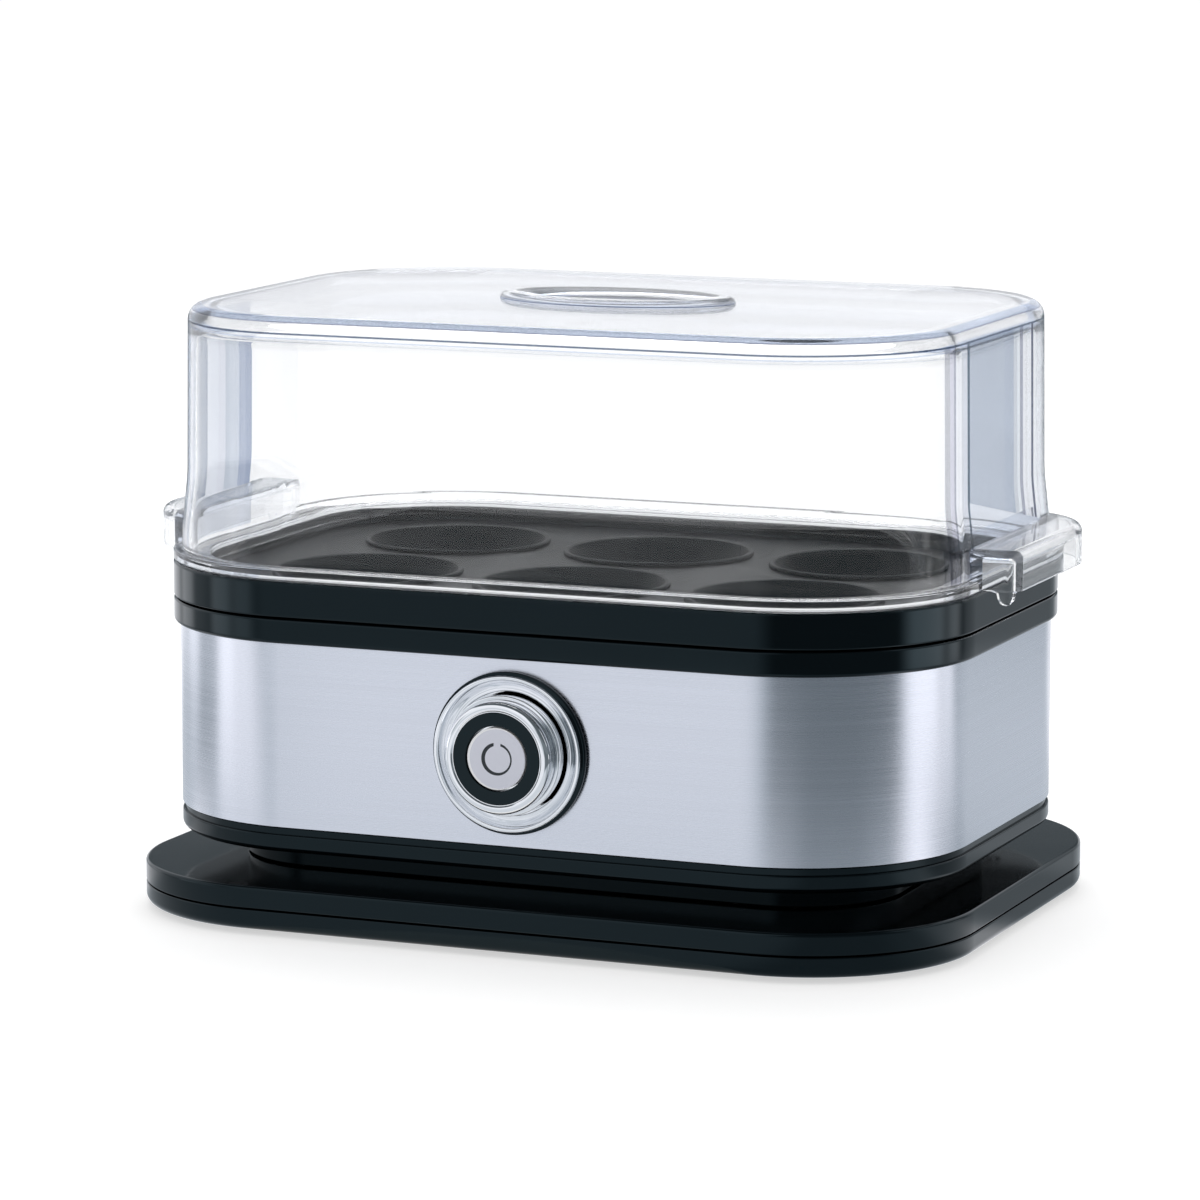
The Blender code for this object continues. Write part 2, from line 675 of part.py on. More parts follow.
def make_body_pan(finishes):
    """Lower trim with its floor, spigot, bosses and the four housing screws."""
    inner = STEEL_SHEET + SEAT_GAP
    step_top = STEEL_BOTTOM - SEAT_GAP
    spigot_top = TRIM_TOP + PAN_SPIGOT_HEIGHT
    profile = [
        *arc(-PAN_BOTTOM_ROUND, TRIM_BOTTOM + PAN_BOTTOM_ROUND, PAN_BOTTOM_ROUND, -90, 0),
        (0, TRIM_TOP - PAN_EDGE_CHAMFER),
        (-PAN_EDGE_CHAMFER, TRIM_TOP),
        (-REVEAL_DEPTH, TRIM_TOP),
        (-REVEAL_DEPTH, step_top),
        (-inner, step_top),
        (-inner, spigot_top),
        (-inner - PAN_SPIGOT_WALL, spigot_top),
        (-inner - PAN_SPIGOT_WALL, FLOOR_TOP),
    ]
    pan = Shape().swept(BODY, profile, closed=False)
    pan = pan.to_object("body_pan", finishes["black"])
    bosses, holes = Shape(), Shape()
    skin = PAN_FLOOR / 2
    hole = SCREW_RADIUS + SCREW_PLAY
    head_room = SCREW_HEAD_RADIUS + SCREW_PLAY
    for side_x, side_y in CORNERS.values():
        spot = neck_screw_spot(side_x, side_y)
        boss_top = FLOOR_TOP + PAN_BOSS_RISE
        bosses.disc(spot, BOSS_RADIUS, TRIM_BOTTOM + skin, boss_top)
        holes.disc(spot, hole, TRIM_BOTTOM - OVERRUN, boss_top - skin)
        spot = post_spot(side_x, side_y)
        bosses.disc(spot, BOSS_RADIUS, TRIM_BOTTOM + skin, FLOOR_TOP + HEAD_SINK)
        holes.turned(
            [
                (head_room, TRIM_BOTTOM - OVERRUN),
                (head_room, TRIM_BOTTOM + HEAD_SINK),
                (hole, TRIM_BOTTOM + HEAD_SINK),
                (hole, FLOOR_TOP + HEAD_SINK + OVERRUN),
            ],
            spot,
        )
    boolean(pan, "UNION", bosses.to_helper("body_pan_bosses"))
    boolean(pan, "DIFFERENCE", holes.to_helper("body_pan_holes"))
    head_bottom = TRIM_BOTTOM + HEAD_SINK - SCREW_HEAD_HEIGHT - SEAT_GAP
    for corner, (side_x, side_y) in CORNERS.items():
        spot = post_spot(side_x, side_y)
        reach = PAN_FLOOR + SCREW_BITE
        screw("housing_screw_" + corner, spot, head_bottom, reach, finishes["zinc"])


def make_steel_wrap(finishes):
    """The brushed sheet round the body, cut for the button's sleeve and the cord gland."""
    profile = [
        (0, STEEL_BOTTOM),
        (0, STEEL_TOP),
        (-STEEL_SHEET, STEEL_TOP),
        (-STEEL_SHEET, STEEL_BOTTOM),
    ]
    wrap = Shape().swept(BODY, profile).to_object("steel_wrap", finishes["steel"])
    depth = STEEL_SHEET + OVERRUN
    front = Shape().disc((0, 0), sleeve_radius() + SEAT_GAP, -depth, OVERRUN, ROUND_SIDES)
    front = front.to_helper("button_hole", button_frame())
    boolean(wrap, "DIFFERENCE", front)
    rear = Shape().disc((0, 0), GLAND_RADIUS + SEAT_GAP, -OVERRUN, depth, CUP_SIDES)
    boolean(wrap, "DIFFERENCE", rear.to_helper("gland_hole", gland_frame()))


def button_frame():
    """An empty on the button's axis at the steel's face, with its local Z towards the front."""
    return frame("button_axis", (BUTTON_OFFSET, -BODY.half_y, BUTTON_Z))


def gland_frame():
    """An empty on the gland's axis at the steel's rear face, with its local Z to the front."""
    return frame("gland_axis", (gland_x(), BODY.half_y, GLAND_Z))


def gland_x():
    """Where the gland sits along X: on the flat rear, short of the body's corner."""
    centre_x, _ = BODY.corner_centre()
    return centre_x - GLAND_SHORT


def frame(name, location):
    """Finds or makes an empty whose local Z points to the front."""
    empty = bpy.data.objects.get(name)
    if not empty:
        empty = bpy.data.objects.new(name, None)
        bpy.context.scene.collection.objects.link(empty)
        empty.location = location
        empty.rotation_euler = (math.pi / 2, 0, 0)
    return empty


def make_bezel(finishes):
    """Lower black band: clamps the steel's top edge and carries gasket, dish and four posts."""
    inner = STEEL_SHEET + SEAT_GAP
    opening = DISH_INSET - SEAT_GAP
    step = DISH_FLANGE_INSET - SEAT_GAP
    profile = [
        *arc(BAND_OVERHANG - BEZEL_ROUND, BEZEL_BOTTOM + BEZEL_ROUND, BEZEL_ROUND, 0, -90),
        (SEAT_GAP, BEZEL_BOTTOM),
        (SEAT_GAP, STEEL_TOP + SEAT_GAP),
        (-inner, STEEL_TOP + SEAT_GAP),
        (-inner, LEDGE_BOTTOM),
        (-opening, LEDGE_BOTTOM),
        (-opening, LEDGE_TOP),
        (-step, LEDGE_TOP),
        (-step, BEZEL_TOP - BAND_EDGE),
        (-step + BAND_EDGE, BEZEL_TOP),
        (BAND_OVERHANG - BAND_EDGE, BEZEL_TOP),
        (BAND_OVERHANG, BEZEL_TOP - BAND_EDGE),
    ]
    bezel = Shape().swept(BODY, profile).to_object("heater_bezel", finishes["black"])
    posts, holes = Shape(), Shape()
    hole = SCREW_RADIUS + SCREW_PLAY
    foot = FLOOR_TOP + HEAD_SINK + SEAT_GAP
    rooted = LEDGE_TOP - BEZEL_LEDGE / 2
    for side_x, side_y in CORNERS.values():
        spot = post_spot(side_x, side_y)
        posts.turned([(BOSS_RADIUS * POST_TIP_SHARE, foot), (BOSS_RADIUS, rooted)], spot)
        holes.disc(spot, hole, foot - OVERRUN, foot + SCREW_BITE)
    for side in (-1, 1):
        spot = strap_screw_spot(side)
        boss_bottom = LEDGE_BOTTOM - STRAP_BOSS_RISE
        posts.disc(spot, BOSS_RADIUS, boss_bottom, rooted)
        holes.disc(spot, hole, boss_bottom - OVERRUN, LEDGE_BOTTOM)
    boolean(bezel, "UNION", posts.to_helper("heater_bezel_posts"))
    boolean(bezel, "DIFFERENCE", holes.to_helper("heater_bezel_holes"))


def strap_screw_spot(side):
    """Where a strap screw stands: under the bezel's ledge at one end of the body."""
    reach = (DISH_INSET + STEEL_SHEET) / 2
    return side * (BODY.half_x - reach), 0


def make_heater(finishes):
    """Gasket, heating dish, heater plate, element, strap, thermostat and fuse."""
    outer = DISH_FLANGE_INSET
    side = DISH_INSET
    gasket_profile = [
        (-outer, GASKET_BOTTOM),
        (-outer, GASKET_BOTTOM + GASKET_THICKNESS),
        (-side + SEAT_GAP, GASKET_BOTTOM + GASKET_THICKNESS),
        (-side + SEAT_GAP, GASKET_BOTTOM),
    ]
    Shape().swept(BODY, gasket_profile).to_object("dish_gasket", finishes["silicone"])

    foot = side + DISH_DRAFT
    well = DISH_WELL_INSET
    bend = DISH_BEND
    sheet = DISH_SHEET
    inside = DISH_FLOOR_ROUND - sheet
    profile = [
        (-well - sheet, WELL_FLOOR),
        (-well, DISH_FLOOR),
        *arc(-foot - DISH_FLOOR_ROUND, DISH_FLOOR + inside, inside, -90, 0),
        (-side - bend, DISH_TOP - sheet),
        (-side, DISH_TOP),
        (-outer, DISH_TOP),
        (-outer, FLANGE_SEAT),
        (-side - SEAT_GAP, FLANGE_SEAT),
        *arc(-foot - DISH_FLOOR_ROUND, DISH_FLOOR + inside, DISH_FLOOR_ROUND, 0, -90),
        (-well + sheet, DISH_FLOOR - sheet),
        (-well, WELL_FLOOR - sheet),
    ]
    Shape().swept(BODY, profile, closed=False).to_object("heating_dish", finishes["dish"])

    plate_profile = [
        (-HEATER_EDGE, HEATER_BOTTOM),
        (0, HEATER_BOTTOM + HEATER_EDGE),
        (0, HEATER_TOP),
    ]
    plate = Shape().swept(HEATER, plate_profile, closed=False)
    plate = plate.to_object("heater_plate", finishes["aluminium"])
    tube("heating_element", element_route(), ELEMENT_RADIUS, finishes["zinc"], 1)
    groove = Shape()
    bore = ELEMENT_RADIUS + SEAT_GAP
    channel_profile = [
        (bore, HEATER_BOTTOM - OVERRUN),
        *arc(0, HEATER_BOTTOM, bore, 0, 180, 2 * EDGE_STEPS),
        (-bore, HEATER_BOTTOM - OVERRUN),
    ]
    groove.swept(ELEMENT_LOOP, channel_profile)
    boolean(plate, "DIFFERENCE", groove.to_helper("element_channel"))

    make_strap(finishes)
    make_thermostat(finishes)
    make_fuse(finishes)


def element_route():
    """The element's loop, open at the rear, with both tails turned down."""
    ring = ELEMENT_LOOP.ring(HEATER_BOTTOM)
    start = CORNER_STEPS + 1
    loop = ring[start:] + ring[:start]
    half = ELEMENT_TAIL_SPACING / 2
    y = ELEMENT_LOOP.half_y
    tails = []
    for side in (-1, 1):
        tails.append(
            [
                Vector((side * half, y, HEATER_BOTTOM - ELEMENT_BEND - ELEMENT_TAIL_DROP)),
                *(
                    Vector((side * (half + across), y, up))
                    for across, up in arc(
                        ELEMENT_BEND, HEATER_BOTTOM - ELEMENT_BEND, ELEMENT_BEND, 180, 90
                    )
                ),
            ]
        )
    return tails[0] + loop + tails[1][::-1]


def make_strap(finishes):
    """A bent strip hung from the bezel's two end bosses, with its screws."""
    tab = LEDGE_BOTTOM - STRAP_BOSS_RISE - SEAT_GAP - STRAP_SHEET / 2
    low = STRAP_TOP - STRAP_SHEET / 2
    hang, _ = strap_screw_spot(1)
    outer = hang + STRAP_TAB / 2
    drop = hang - STRAP_TAB / 2
    half = [(outer, tab), (drop, tab), (drop, low + STRAP_SLOPE), (drop - STRAP_SLOPE, low)]
    points = half + [(-x, z) for x, z in reversed(half)]
    outline = strip(points, STRAP_SHEET)
    strap = Shape().prism(outline, -STRAP_WIDTH / 2, STRAP_WIDTH / 2, across="y")
    strap = strap.to_object("heater_strap", finishes["zinc"])
    holes = Shape()
    hole = SCREW_RADIUS + SCREW_PLAY
    for side in (-1, 1):
        holes.disc(strap_screw_spot(side), hole, tab - OVERRUN, tab + OVERRUN)
    boolean(strap, "DIFFERENCE", holes.to_helper("heater_strap_holes"))
    head_bottom = tab - STRAP_SHEET / 2 - SEAT_GAP - SCREW_HEAD_HEIGHT
    reach = STRAP_SHEET + STRAP_BOSS_RISE
    for name, side in (("strap_screw_left", -1), ("strap_screw_right", 1)):
        screw(name, strap_screw_spot(side), head_bottom, reach, finishes["zinc"])


def make_thermostat(finishes):
    """A snap-disc thermostat between heater plate and strap, with a blade at each side."""
    neck = THERMOSTAT_RADIUS - THERMOSTAT_RIM
    profile = [
        (neck, THERMOSTAT_BOTTOM),
        (neck, THERMOSTAT_TOP - 2 * THERMOSTAT_RIM),
        (THERMOSTAT_RADIUS, THERMOSTAT_TOP - 2 * THERMOSTAT_RIM),
        (THERMOSTAT_RADIUS, THERMOSTAT_TOP),
    ]
    item = Shape().turned(profile, sides=CUP_SIDES)
    item = item.to_object("thermostat", finishes["casing"])
    reach = THERMOSTAT_RADIUS + BLADE_REACH
    low = (-reach, -BLADE_WIDTH / 2, blade_height() - BLADE_SHEET / 2)
    high = (reach, BLADE_WIDTH / 2, blade_height() + BLADE_SHEET / 2)
    boolean(item, "UNION", Shape().block(low, high).to_helper("thermostat_blades"))


def blade_height():
    """Height of the thermostat's blades."""
    return THERMOSTAT_BOTTOM + FUSE_RADIUS + SEAT_GAP


def make_fuse(finishes):
    """A thermal fuse in its sleeve on the strap, under a saddle clip."""
    height = STRAP_TOP + SEAT_GAP + FUSE_RADIUS
    start = FUSE_OFFSET - FUSE_LENGTH / 2
    sleeve = Shape().turned([(FUSE_RADIUS, 0), (FUSE_RADIUS, FUSE_LENGTH)])
    sleeve = sleeve.to_object("thermal_fuse", finishes["sleeve"], (start, 0, height))
    sleeve.rotation_euler = (0, math.pi / 2, 0)
    inner = FUSE_RADIUS + SEAT_GAP + CLIP_SHEET / 2
    base = STRAP_TOP + SEAT_GAP + CLIP_SHEET / 2
    saddle = [
        (inner + CLIP_FOOT, base),
        (inner, base),
        *arc(0, height, inner, 0, 180, 2 * EDGE_STEPS),
        (-inner, base),
        (-inner - CLIP_FOOT, base),
    ]
    outline = strip(saddle, CLIP_SHEET)
    low, high = FUSE_OFFSET - CLIP_WIDTH / 2, FUSE_OFFSET + CLIP_WIDTH / 2
    Shape().prism(outline, low, high).to_object("fuse_clip", finishes["zinc"])


def sleeve_radius():
    """Outer radius of the button collar's sleeve, where it passes the steel."""
    return BARREL_RADIUS + LIFT_GAP + SLEEVE_WALL


def stem_front():
    """How far ahead of the steel the stem's flange meets the barrel's web."""
    return BUTTON_PROUD - RING_DEPTH - BARREL_WEB - SEAT_GAP


def make_button(finishes):
    """Chrome collar, its nut, and the barrel with ring, cap, stem and spring on one axis."""
    axis = button_frame()
    place = axis.location
    bore = BARREL_RADIUS + LIFT_GAP
    sleeve = sleeve_radius()
    sleeve_end = -SLEEVE_LENGTH - SLEEVE_END_WALL
    lip_mid = COLLAR_LIP_RADIUS - COLLAR_LIP_WIDTH
    dish = COLLAR_LIP_HEIGHT - COLLAR_DISH_DEPTH
    collar_profile = [
        (sleeve, SEAT_GAP),
        (COLLAR_RADIUS - BARREL_GROOVE, SEAT_GAP),
        (COLLAR_RADIUS, SEAT_GAP + BARREL_GROOVE),
        (COLLAR_RADIUS, COLLAR_BASE_HEIGHT - BARREL_GROOVE),
        (COLLAR_RADIUS - BARREL_GROOVE, COLLAR_BASE_HEIGHT),
        (COLLAR_LIP_RADIUS, COLLAR_BASE_HEIGHT),
        *arc(lip_mid, COLLAR_LIP_HEIGHT - COLLAR_LIP_WIDTH, COLLAR_LIP_WIDTH, 0, 150),
        (bore + BARREL_GROOVE, dish),
        (bore, dish - BARREL_GROOVE),
        (bore, -SLEEVE_LENGTH),
        (STEM_RADIUS + LIFT_GAP, -SLEEVE_LENGTH),
        (STEM_RADIUS + LIFT_GAP, sleeve_end),
        (sleeve, sleeve_end),
    ]
    collar = Shape().turned(collar_profile, sides=ROUND_SIDES, closed=True)
    collar.to_object("button_collar", finishes["chrome"], place, facing_front=True)

    inside = -STEEL_SHEET - SEAT_GAP
    nut_inner = sleeve + SEAT_GAP
    nut_profile = [
        (nut_inner, inside),
        (nut_inner, inside - NUT_THICKNESS),
        (nut_inner + NUT_WIDTH, inside - NUT_THICKNESS),
        (nut_inner + NUT_WIDTH, inside),
    ]
    nut = Shape().turned(nut_profile, sides=CUP_SIDES, closed=True)
    nut.to_object("collar_nut", finishes["zinc"], place, facing_front=True)

    pocket = RING_RADIUS + SEAT_GAP
    shoulder = COLLAR_LIP_HEIGHT + BARREL_NOSE_ROUND
    hollow = BARREL_RADIUS - BARREL_WALL
    floor = BUTTON_PROUD - RING_DEPTH - SEAT_GAP
    groove = BARREL_NOSE_RADIUS - BARREL_GROOVE
    nose = BARREL_NOSE_RADIUS - BARREL_NOSE_ROUND
    barrel_profile = [
        (pocket, floor),
        (pocket, BUTTON_PROUD - BARREL_GROOVE),
        (pocket + BARREL_GROOVE, BUTTON_PROUD),
        *arc(nose, BUTTON_PROUD - BARREL_NOSE_ROUND, BARREL_NOSE_ROUND, 90, 0),
        (BARREL_NOSE_RADIUS, shoulder + 2 * BARREL_GROOVE_WIDTH),
        (groove, shoulder + 2 * BARREL_GROOVE_WIDTH),
        (groove, shoulder + BARREL_GROOVE_WIDTH),
        (BARREL_RADIUS - BARREL_GROOVE, shoulder + BARREL_GROOVE_WIDTH),
        (BARREL_RADIUS, shoulder),
        (BARREL_RADIUS, -BARREL_TAIL),
        (hollow, -BARREL_TAIL),
        (hollow, floor - BARREL_WEB),
    ]
    barrel = Shape().turned(barrel_profile, sides=ROUND_SIDES)
    barrel.to_object("button_barrel", finishes["chrome"], place, facing_front=True)

    face = BUTTON_PROUD - RING_BACKSET
    ring_inner = CAP_RADIUS + SEAT_GAP
    back = floor + SEAT_GAP
    ring_profile = [
        (RING_RADIUS, back),
        (RING_RADIUS, face - RING_BACKSET),
        (RING_RADIUS - RING_BACKSET, face),
        (ring_inner + RING_BACKSET, face),
        (ring_inner, face - RING_BACKSET),
        (ring_inner, back),
    ]
    ring = Shape().turned(ring_profile, sides=ROUND_SIDES, closed=True)
    ring.to_object("button_ring", finishes["black"], place, facing_front=True)
    cap_profile = [
        (CAP_RADIUS, back),
        (CAP_RADIUS, face - RING_BACKSET),
        (CAP_RADIUS * CAP_FLAT_SHARE, face + CAP_CROWN),
    ]
    cap = Shape().turned(cap_profile, sides=CUP_SIDES)
    cap.to_object("button_cap", finishes["silver"], place, facing_front=True)

    front = stem_front() - SEAT_GAP
    flange_back = front - STEM_FLANGE_HEIGHT
    stop = sleeve_end - SEAT_GAP
    tip = switch_front() - STEM_IN_SWITCH
    stem_profile = [
        (hollow - LIFT_GAP, front),
        (hollow - LIFT_GAP, flange_back),
        (STEM_RADIUS, flange_back),
        (STEM_RADIUS, stop),
        (STEM_STOP_RADIUS, stop),
        (STEM_STOP_RADIUS, stop - STEM_STOP_HEIGHT / 2),
        (STEM_TIP_RADIUS, stop - STEM_STOP_HEIGHT),
        (STEM_TIP_RADIUS, tip),
    ]
    stem = Shape().turned(stem_profile, sides=CUP_SIDES)
    stem.to_object("button_stem", finishes["black"], place, facing_front=True)

    spring_front = flange_back - SEAT_GAP - SPRING_WIRE_RADIUS
    spring_back = -SLEEVE_LENGTH + SEAT_GAP + SPRING_WIRE_RADIUS
    route = []
    count = SPRING_TURNS * SPRING_POINTS_PER_TURN
    for index in range(count + 1):
        angle = 2 * math.pi * index / SPRING_POINTS_PER_TURN
        ahead = spring_back + (spring_front - spring_back) * index / count
        x, z = SPRING_RADIUS * math.cos(angle), SPRING_RADIUS * math.sin(angle)
        route.append((x, z, ahead))
    spring = tube("button_spring", route, SPRING_WIRE_RADIUS, finishes["zinc"])
    spring.location = place
    spring.rotation_euler = axis.rotation_euler


def switch_front():
    """How far ahead of the steel the switch's face lies, as a negative length."""
    pressed = SLEEVE_LENGTH + SLEEVE_END_WALL + STEM_STOP_HEIGHT + BUTTON_TRAVEL
    return -pressed - 2 * SEAT_GAP - LIFT_GAP


def make_switch(finishes):
    """Push switch on the button's axis, on a bracket that stands on the body pan's floor."""
    front = -BODY.half_y - switch_front()
    back = front + SWITCH_LENGTH
    half_x, half_z = SWITCH_WIDTH / 2, SWITCH_HEIGHT / 2
    left, right = BUTTON_OFFSET - half_x, BUTTON_OFFSET + half_x
    case = Shape().block((left, front, BUTTON_Z - half_z), (right, back, BUTTON_Z + half_z))
    case = case.bevelled(CASE_EDGE).to_object("push_switch", finishes["casing"])
    lugs = Shape()
    lug_z = BUTTON_Z - SWITCH_HEIGHT * SWITCH_LUG_SHARE
    for side in (-1, 1):
        x = BUTTON_OFFSET + side * SWITCH_LUG_SPACING / 2
        half = SWITCH_LUG_WIDTH / 2
        thick = BLADE_SHEET / 2
        lugs.block(
            (x - half, back - SWITCH_BACK_WALL, lug_z - thick),
            (x + half, back + SWITCH_LUG_REACH, lug_z + thick),
        )
    boolean(case, "UNION", lugs.to_helper("push_switch_lugs"))
    bore = Shape().disc(
        (0, 0),
        STEM_TIP_RADIUS + LIFT_GAP,
        switch_front() - SWITCH_LENGTH + 2 * SWITCH_BACK_WALL,
        switch_front() + OVERRUN,
    )
    boolean(case, "DIFFERENCE", bore.to_helper("push_switch_bore", button_frame()))

    shelf = BUTTON_Z - half_z - SEAT_GAP - BRACKET_SHEET / 2
    floor = FLOOR_TOP + SEAT_GAP + BRACKET_SHEET / 2
    upright = back - BRACKET_SHEET / 2
    points = [
        (front, shelf),
        (upright, shelf),
        (upright, floor),
        (upright + BRACKET_FOOT, floor),
    ]
    outline = strip(points, BRACKET_SHEET)
    left = BUTTON_OFFSET - BRACKET_WIDTH / 2
    bracket = Shape().prism(outline, left, left + BRACKET_WIDTH)
    bracket.to_object("switch_bracket", finishes["zinc"])


def terminal_centre():
    """Centre of the terminal block in plan, inside the gland."""
    return gland_x(), BODY.half_y - TERMINAL_INSET


def terminal_top():
    """Top of the terminal block, which stands on the body pan's floor."""
    return FLOOR_TOP + SEAT_GAP + TERMINAL_HEIGHT


def make_terminals(finishes):
    """Terminal block with a screw well for each way, and the cord gland behind it."""
    x, y = terminal_centre()
    half_x, half_y = TERMINAL_LENGTH / 2, TERMINAL_WIDTH / 2
    top = terminal_top()
    block = Shape().block(
        (x - half_x, y - half_y, FLOOR_TOP + SEAT_GAP), (x + half_x, y + half_y, top)
    )
    block = block.bevelled(CASE_EDGE).to_object("terminal_block", finishes["casing"])
    wells = Shape()
    for way in range(TERMINAL_WAYS):
        offset = TERMINAL_LENGTH * ((way + 0.5) / TERMINAL_WAYS - 0.5)
        low, high = top - TERMINAL_WELL_DEPTH, top + OVERRUN
        wells.disc((x + offset, y), TERMINAL_WELL_RADIUS, low, high)
    boolean(block, "DIFFERENCE", wells.to_helper("terminal_wells"))

    inside = STEEL_SHEET + SEAT_GAP
    profile = [
        (GLAND_BORE_RADIUS, -SEAT_GAP - GLAND_FLANGE_HEIGHT),
        (GLAND_FLANGE_RADIUS - BAND_EDGE, -SEAT_GAP - GLAND_FLANGE_HEIGHT),
        (GLAND_FLANGE_RADIUS, -SEAT_GAP - GLAND_FLANGE_HEIGHT + BAND_EDGE),
        (GLAND_FLANGE_RADIUS, -SEAT_GAP),
        (GLAND_RADIUS, -SEAT_GAP),
        (GLAND_RADIUS, inside),
        (GLAND_FLANGE_RADIUS, inside),
        (GLAND_RADIUS, inside + GLAND_TAIL),
        (GLAND_BORE_RADIUS, inside + GLAND_TAIL),
    ]
    gland = Shape().turned(profile, sides=CUP_SIDES, closed=True)
    axis = gland_frame()
    gland.to_object("cord_gland", finishes["rubber"], axis.location, facing_front=True)


def make_wires(finishes):
    """The five leads, each from one terminal to the next along the circuit."""
    gap = WIRE_RADIUS + SEAT_GAP
    x, y = terminal_centre()
    way = TERMINAL_LENGTH / TERMINAL_WAYS
    well = terminal_top() - TERMINAL_WELL_DEPTH + gap
    above = terminal_top() + 3 * WIRE_RADIUS
    lug_y = -BODY.half_y - switch_front() + SWITCH_LENGTH + SWITCH_LUG_REACH + gap
    left_lug = BUTTON_OFFSET - SWITCH_LUG_SPACING / 2
    right_lug = left_lug + SWITCH_LUG_SPACING
    lug_z = BUTTON_Z - SWITCH_HEIGHT * SWITCH_LUG_SHARE
    blade_x = THERMOSTAT_RADIUS + BLADE_REACH + SEAT_GAP
    blade_z = blade_height()
    fuse_start = FUSE_OFFSET - FUSE_LENGTH / 2 - SEAT_GAP
    fuse_end = FUSE_OFFSET + FUSE_LENGTH / 2 + gap
    fuse_z = STRAP_TOP + SEAT_GAP + FUSE_RADIUS
    tail_x = ELEMENT_TAIL_SPACING / 2
    tail_y = ELEMENT_LOOP.half_y
    tail_z = HEATER_BOTTOM - ELEMENT_BEND - ELEMENT_TAIL_DROP - gap
    lane = FLOOR_TOP + WIRE_LANE
    half_way = (lane + lug_z) / 2
    past_strap = STRAP_WIDTH / 2 + 3 * WIRE_RADIUS
    routes = {
        "wire_terminal_to_switch": [
            (x + way, y, well),
            (x + way, y - WIRE_RADIUS, above),
            (x + way, y - TERMINAL_WIDTH, above - 2 * WIRE_RADIUS),
            (x, past_strap, lane),
            (way, lug_y / 2, lane),
            (right_lug, lug_y + 4 * WIRE_RADIUS, half_way),
            (right_lug, lug_y, lug_z),
        ],
        "wire_switch_to_thermostat": [
            (left_lug, lug_y, lug_z),
            (left_lug - way / 2, lug_y + 4 * WIRE_RADIUS, half_way),
            (-blade_x - way, -past_strap, blade_z),
            (-blade_x - way / 2, 0, blade_z),
            (-blade_x, 0, blade_z),
        ],
        "wire_thermostat_to_fuse": [
            (blade_x, 0, blade_z),
            ((blade_x + fuse_start) / 2, 0, (blade_z + fuse_z) / 2),
            (fuse_start, 0, fuse_z),
        ],
        "wire_fuse_to_element": [
            (fuse_end, 0, fuse_z),
            (fuse_end + way / 2, past_strap / 2, fuse_z),
            (fuse_end, past_strap + WIRE_RADIUS, (fuse_z + tail_z) / 2),
            (tail_x + way, tail_y + WIRE_RADIUS, tail_z - 2 * WIRE_RADIUS),
            (tail_x, tail_y, tail_z),
        ],
        "wire_element_to_terminal": [
            (-tail_x, tail_y, tail_z),
            (-tail_x, tail_y + 4 * WIRE_RADIUS, tail_z - 2 * WIRE_RADIUS),
            (tail_x, y - 2 * WIRE_RADIUS, above),
            (x - 2 * way, y, above + WIRE_RADIUS),
            (x - way, y, above),
            (x - way, y, well),
        ],
    }
    for name, points in routes.items():
        tube(name, smooth_route(points), WIRE_RADIUS, finishes["wire"])


def cup_pitch():
    """How far the outer cups lie from the middle, along X and along Y, near the body's corners."""
    centre_x, centre_y = BODY.corner_centre()
    return centre_x - CUP_DRAW_IN_ENDS, centre_y - CUP_DRAW_IN_SIDES


def cup_spots():
    """Centres of the six egg cups."""
    pitch, row = cup_pitch()
    return [(column * pitch, side * row) for side in (-1, 1) for column in (-1, 0, 1)]


def cup_radii():
    """Radii of a cup's seat and mouth. The mouth fills its bay of the deck, less the land."""
    pitch, row = cup_pitch()
    mouth = min(pitch, 2 * row) / 2 - CUP_LAND
    return mouth - CUP_FUNNEL, mouth


def make_tray(finishes):
    """Upper black band with the deck and its six funnel cups."""
    underside = TRAY_FLOOR - TRAY_DECK
    inner = BAND_OVERHANG - TRAY_LEDGE
    behind = inner + TRAY_INNER_WALL
    hook = BAND_OVERHANG - TRAY_SKIRT_WALL
    spigot = -DISH_FLANGE_INSET + SEAT_GAP - LIFT_GAP
    profile = [
        (inner - TRAY_FILLET, TRAY_FLOOR),
        (inner, TRAY_FLOOR + TRAY_FILLET),
        (inner, RIM_TOP - BAND_EDGE),
        (inner + BAND_EDGE, RIM_TOP),
        (BAND_OVERHANG - BAND_EDGE, RIM_TOP),
        (BAND_OVERHANG, RIM_TOP - BAND_EDGE),
        (BAND_OVERHANG, RIM_BOTTOM + BAND_EDGE),
        (BAND_OVERHANG - BAND_EDGE, RIM_BOTTOM),
        (hook, RIM_BOTTOM),
        (hook, RIM_TOP - TRAY_DECK),
        (behind, RIM_TOP - TRAY_DECK),
        (behind, underside),
        (spigot, underside),
        (spigot, underside - TRAY_SPIGOT_DROP),
        (spigot - TRAY_SPIGOT_WALL, underside - TRAY_SPIGOT_DROP),
        (spigot - TRAY_SPIGOT_WALL, underside),
    ]
    tray = Shape().swept(BODY, profile, closed=False)
    tray = tray.to_object("egg_tray", finishes["tray"])
    cups, bores = Shape(), Shape()
    lip = TRAY_FLOOR + CUP_LIP_RISE
    seat = TRAY_FLOOR - CUP_DEPTH
    seat_radius, mouth_radius = cup_radii()
    slope = CUP_FUNNEL / (lip - seat)
    for spot in cup_spots():
        cups.turned(
            [(seat_radius + CUP_WALL, seat), (mouth_radius + CUP_WALL, lip)],
            spot,
            CUP_SIDES,
        )
        bores.turned(
            [
                (seat_radius - slope * OVERRUN, seat - OVERRUN),
                (mouth_radius + slope * OVERRUN, lip + OVERRUN),
            ],
            spot,
            CUP_SIDES,
        )
    boolean(tray, "UNION", cups.to_helper("egg_tray_cups"))
    boolean(tray, "DIFFERENCE", bores.to_helper("egg_tray_bores"))


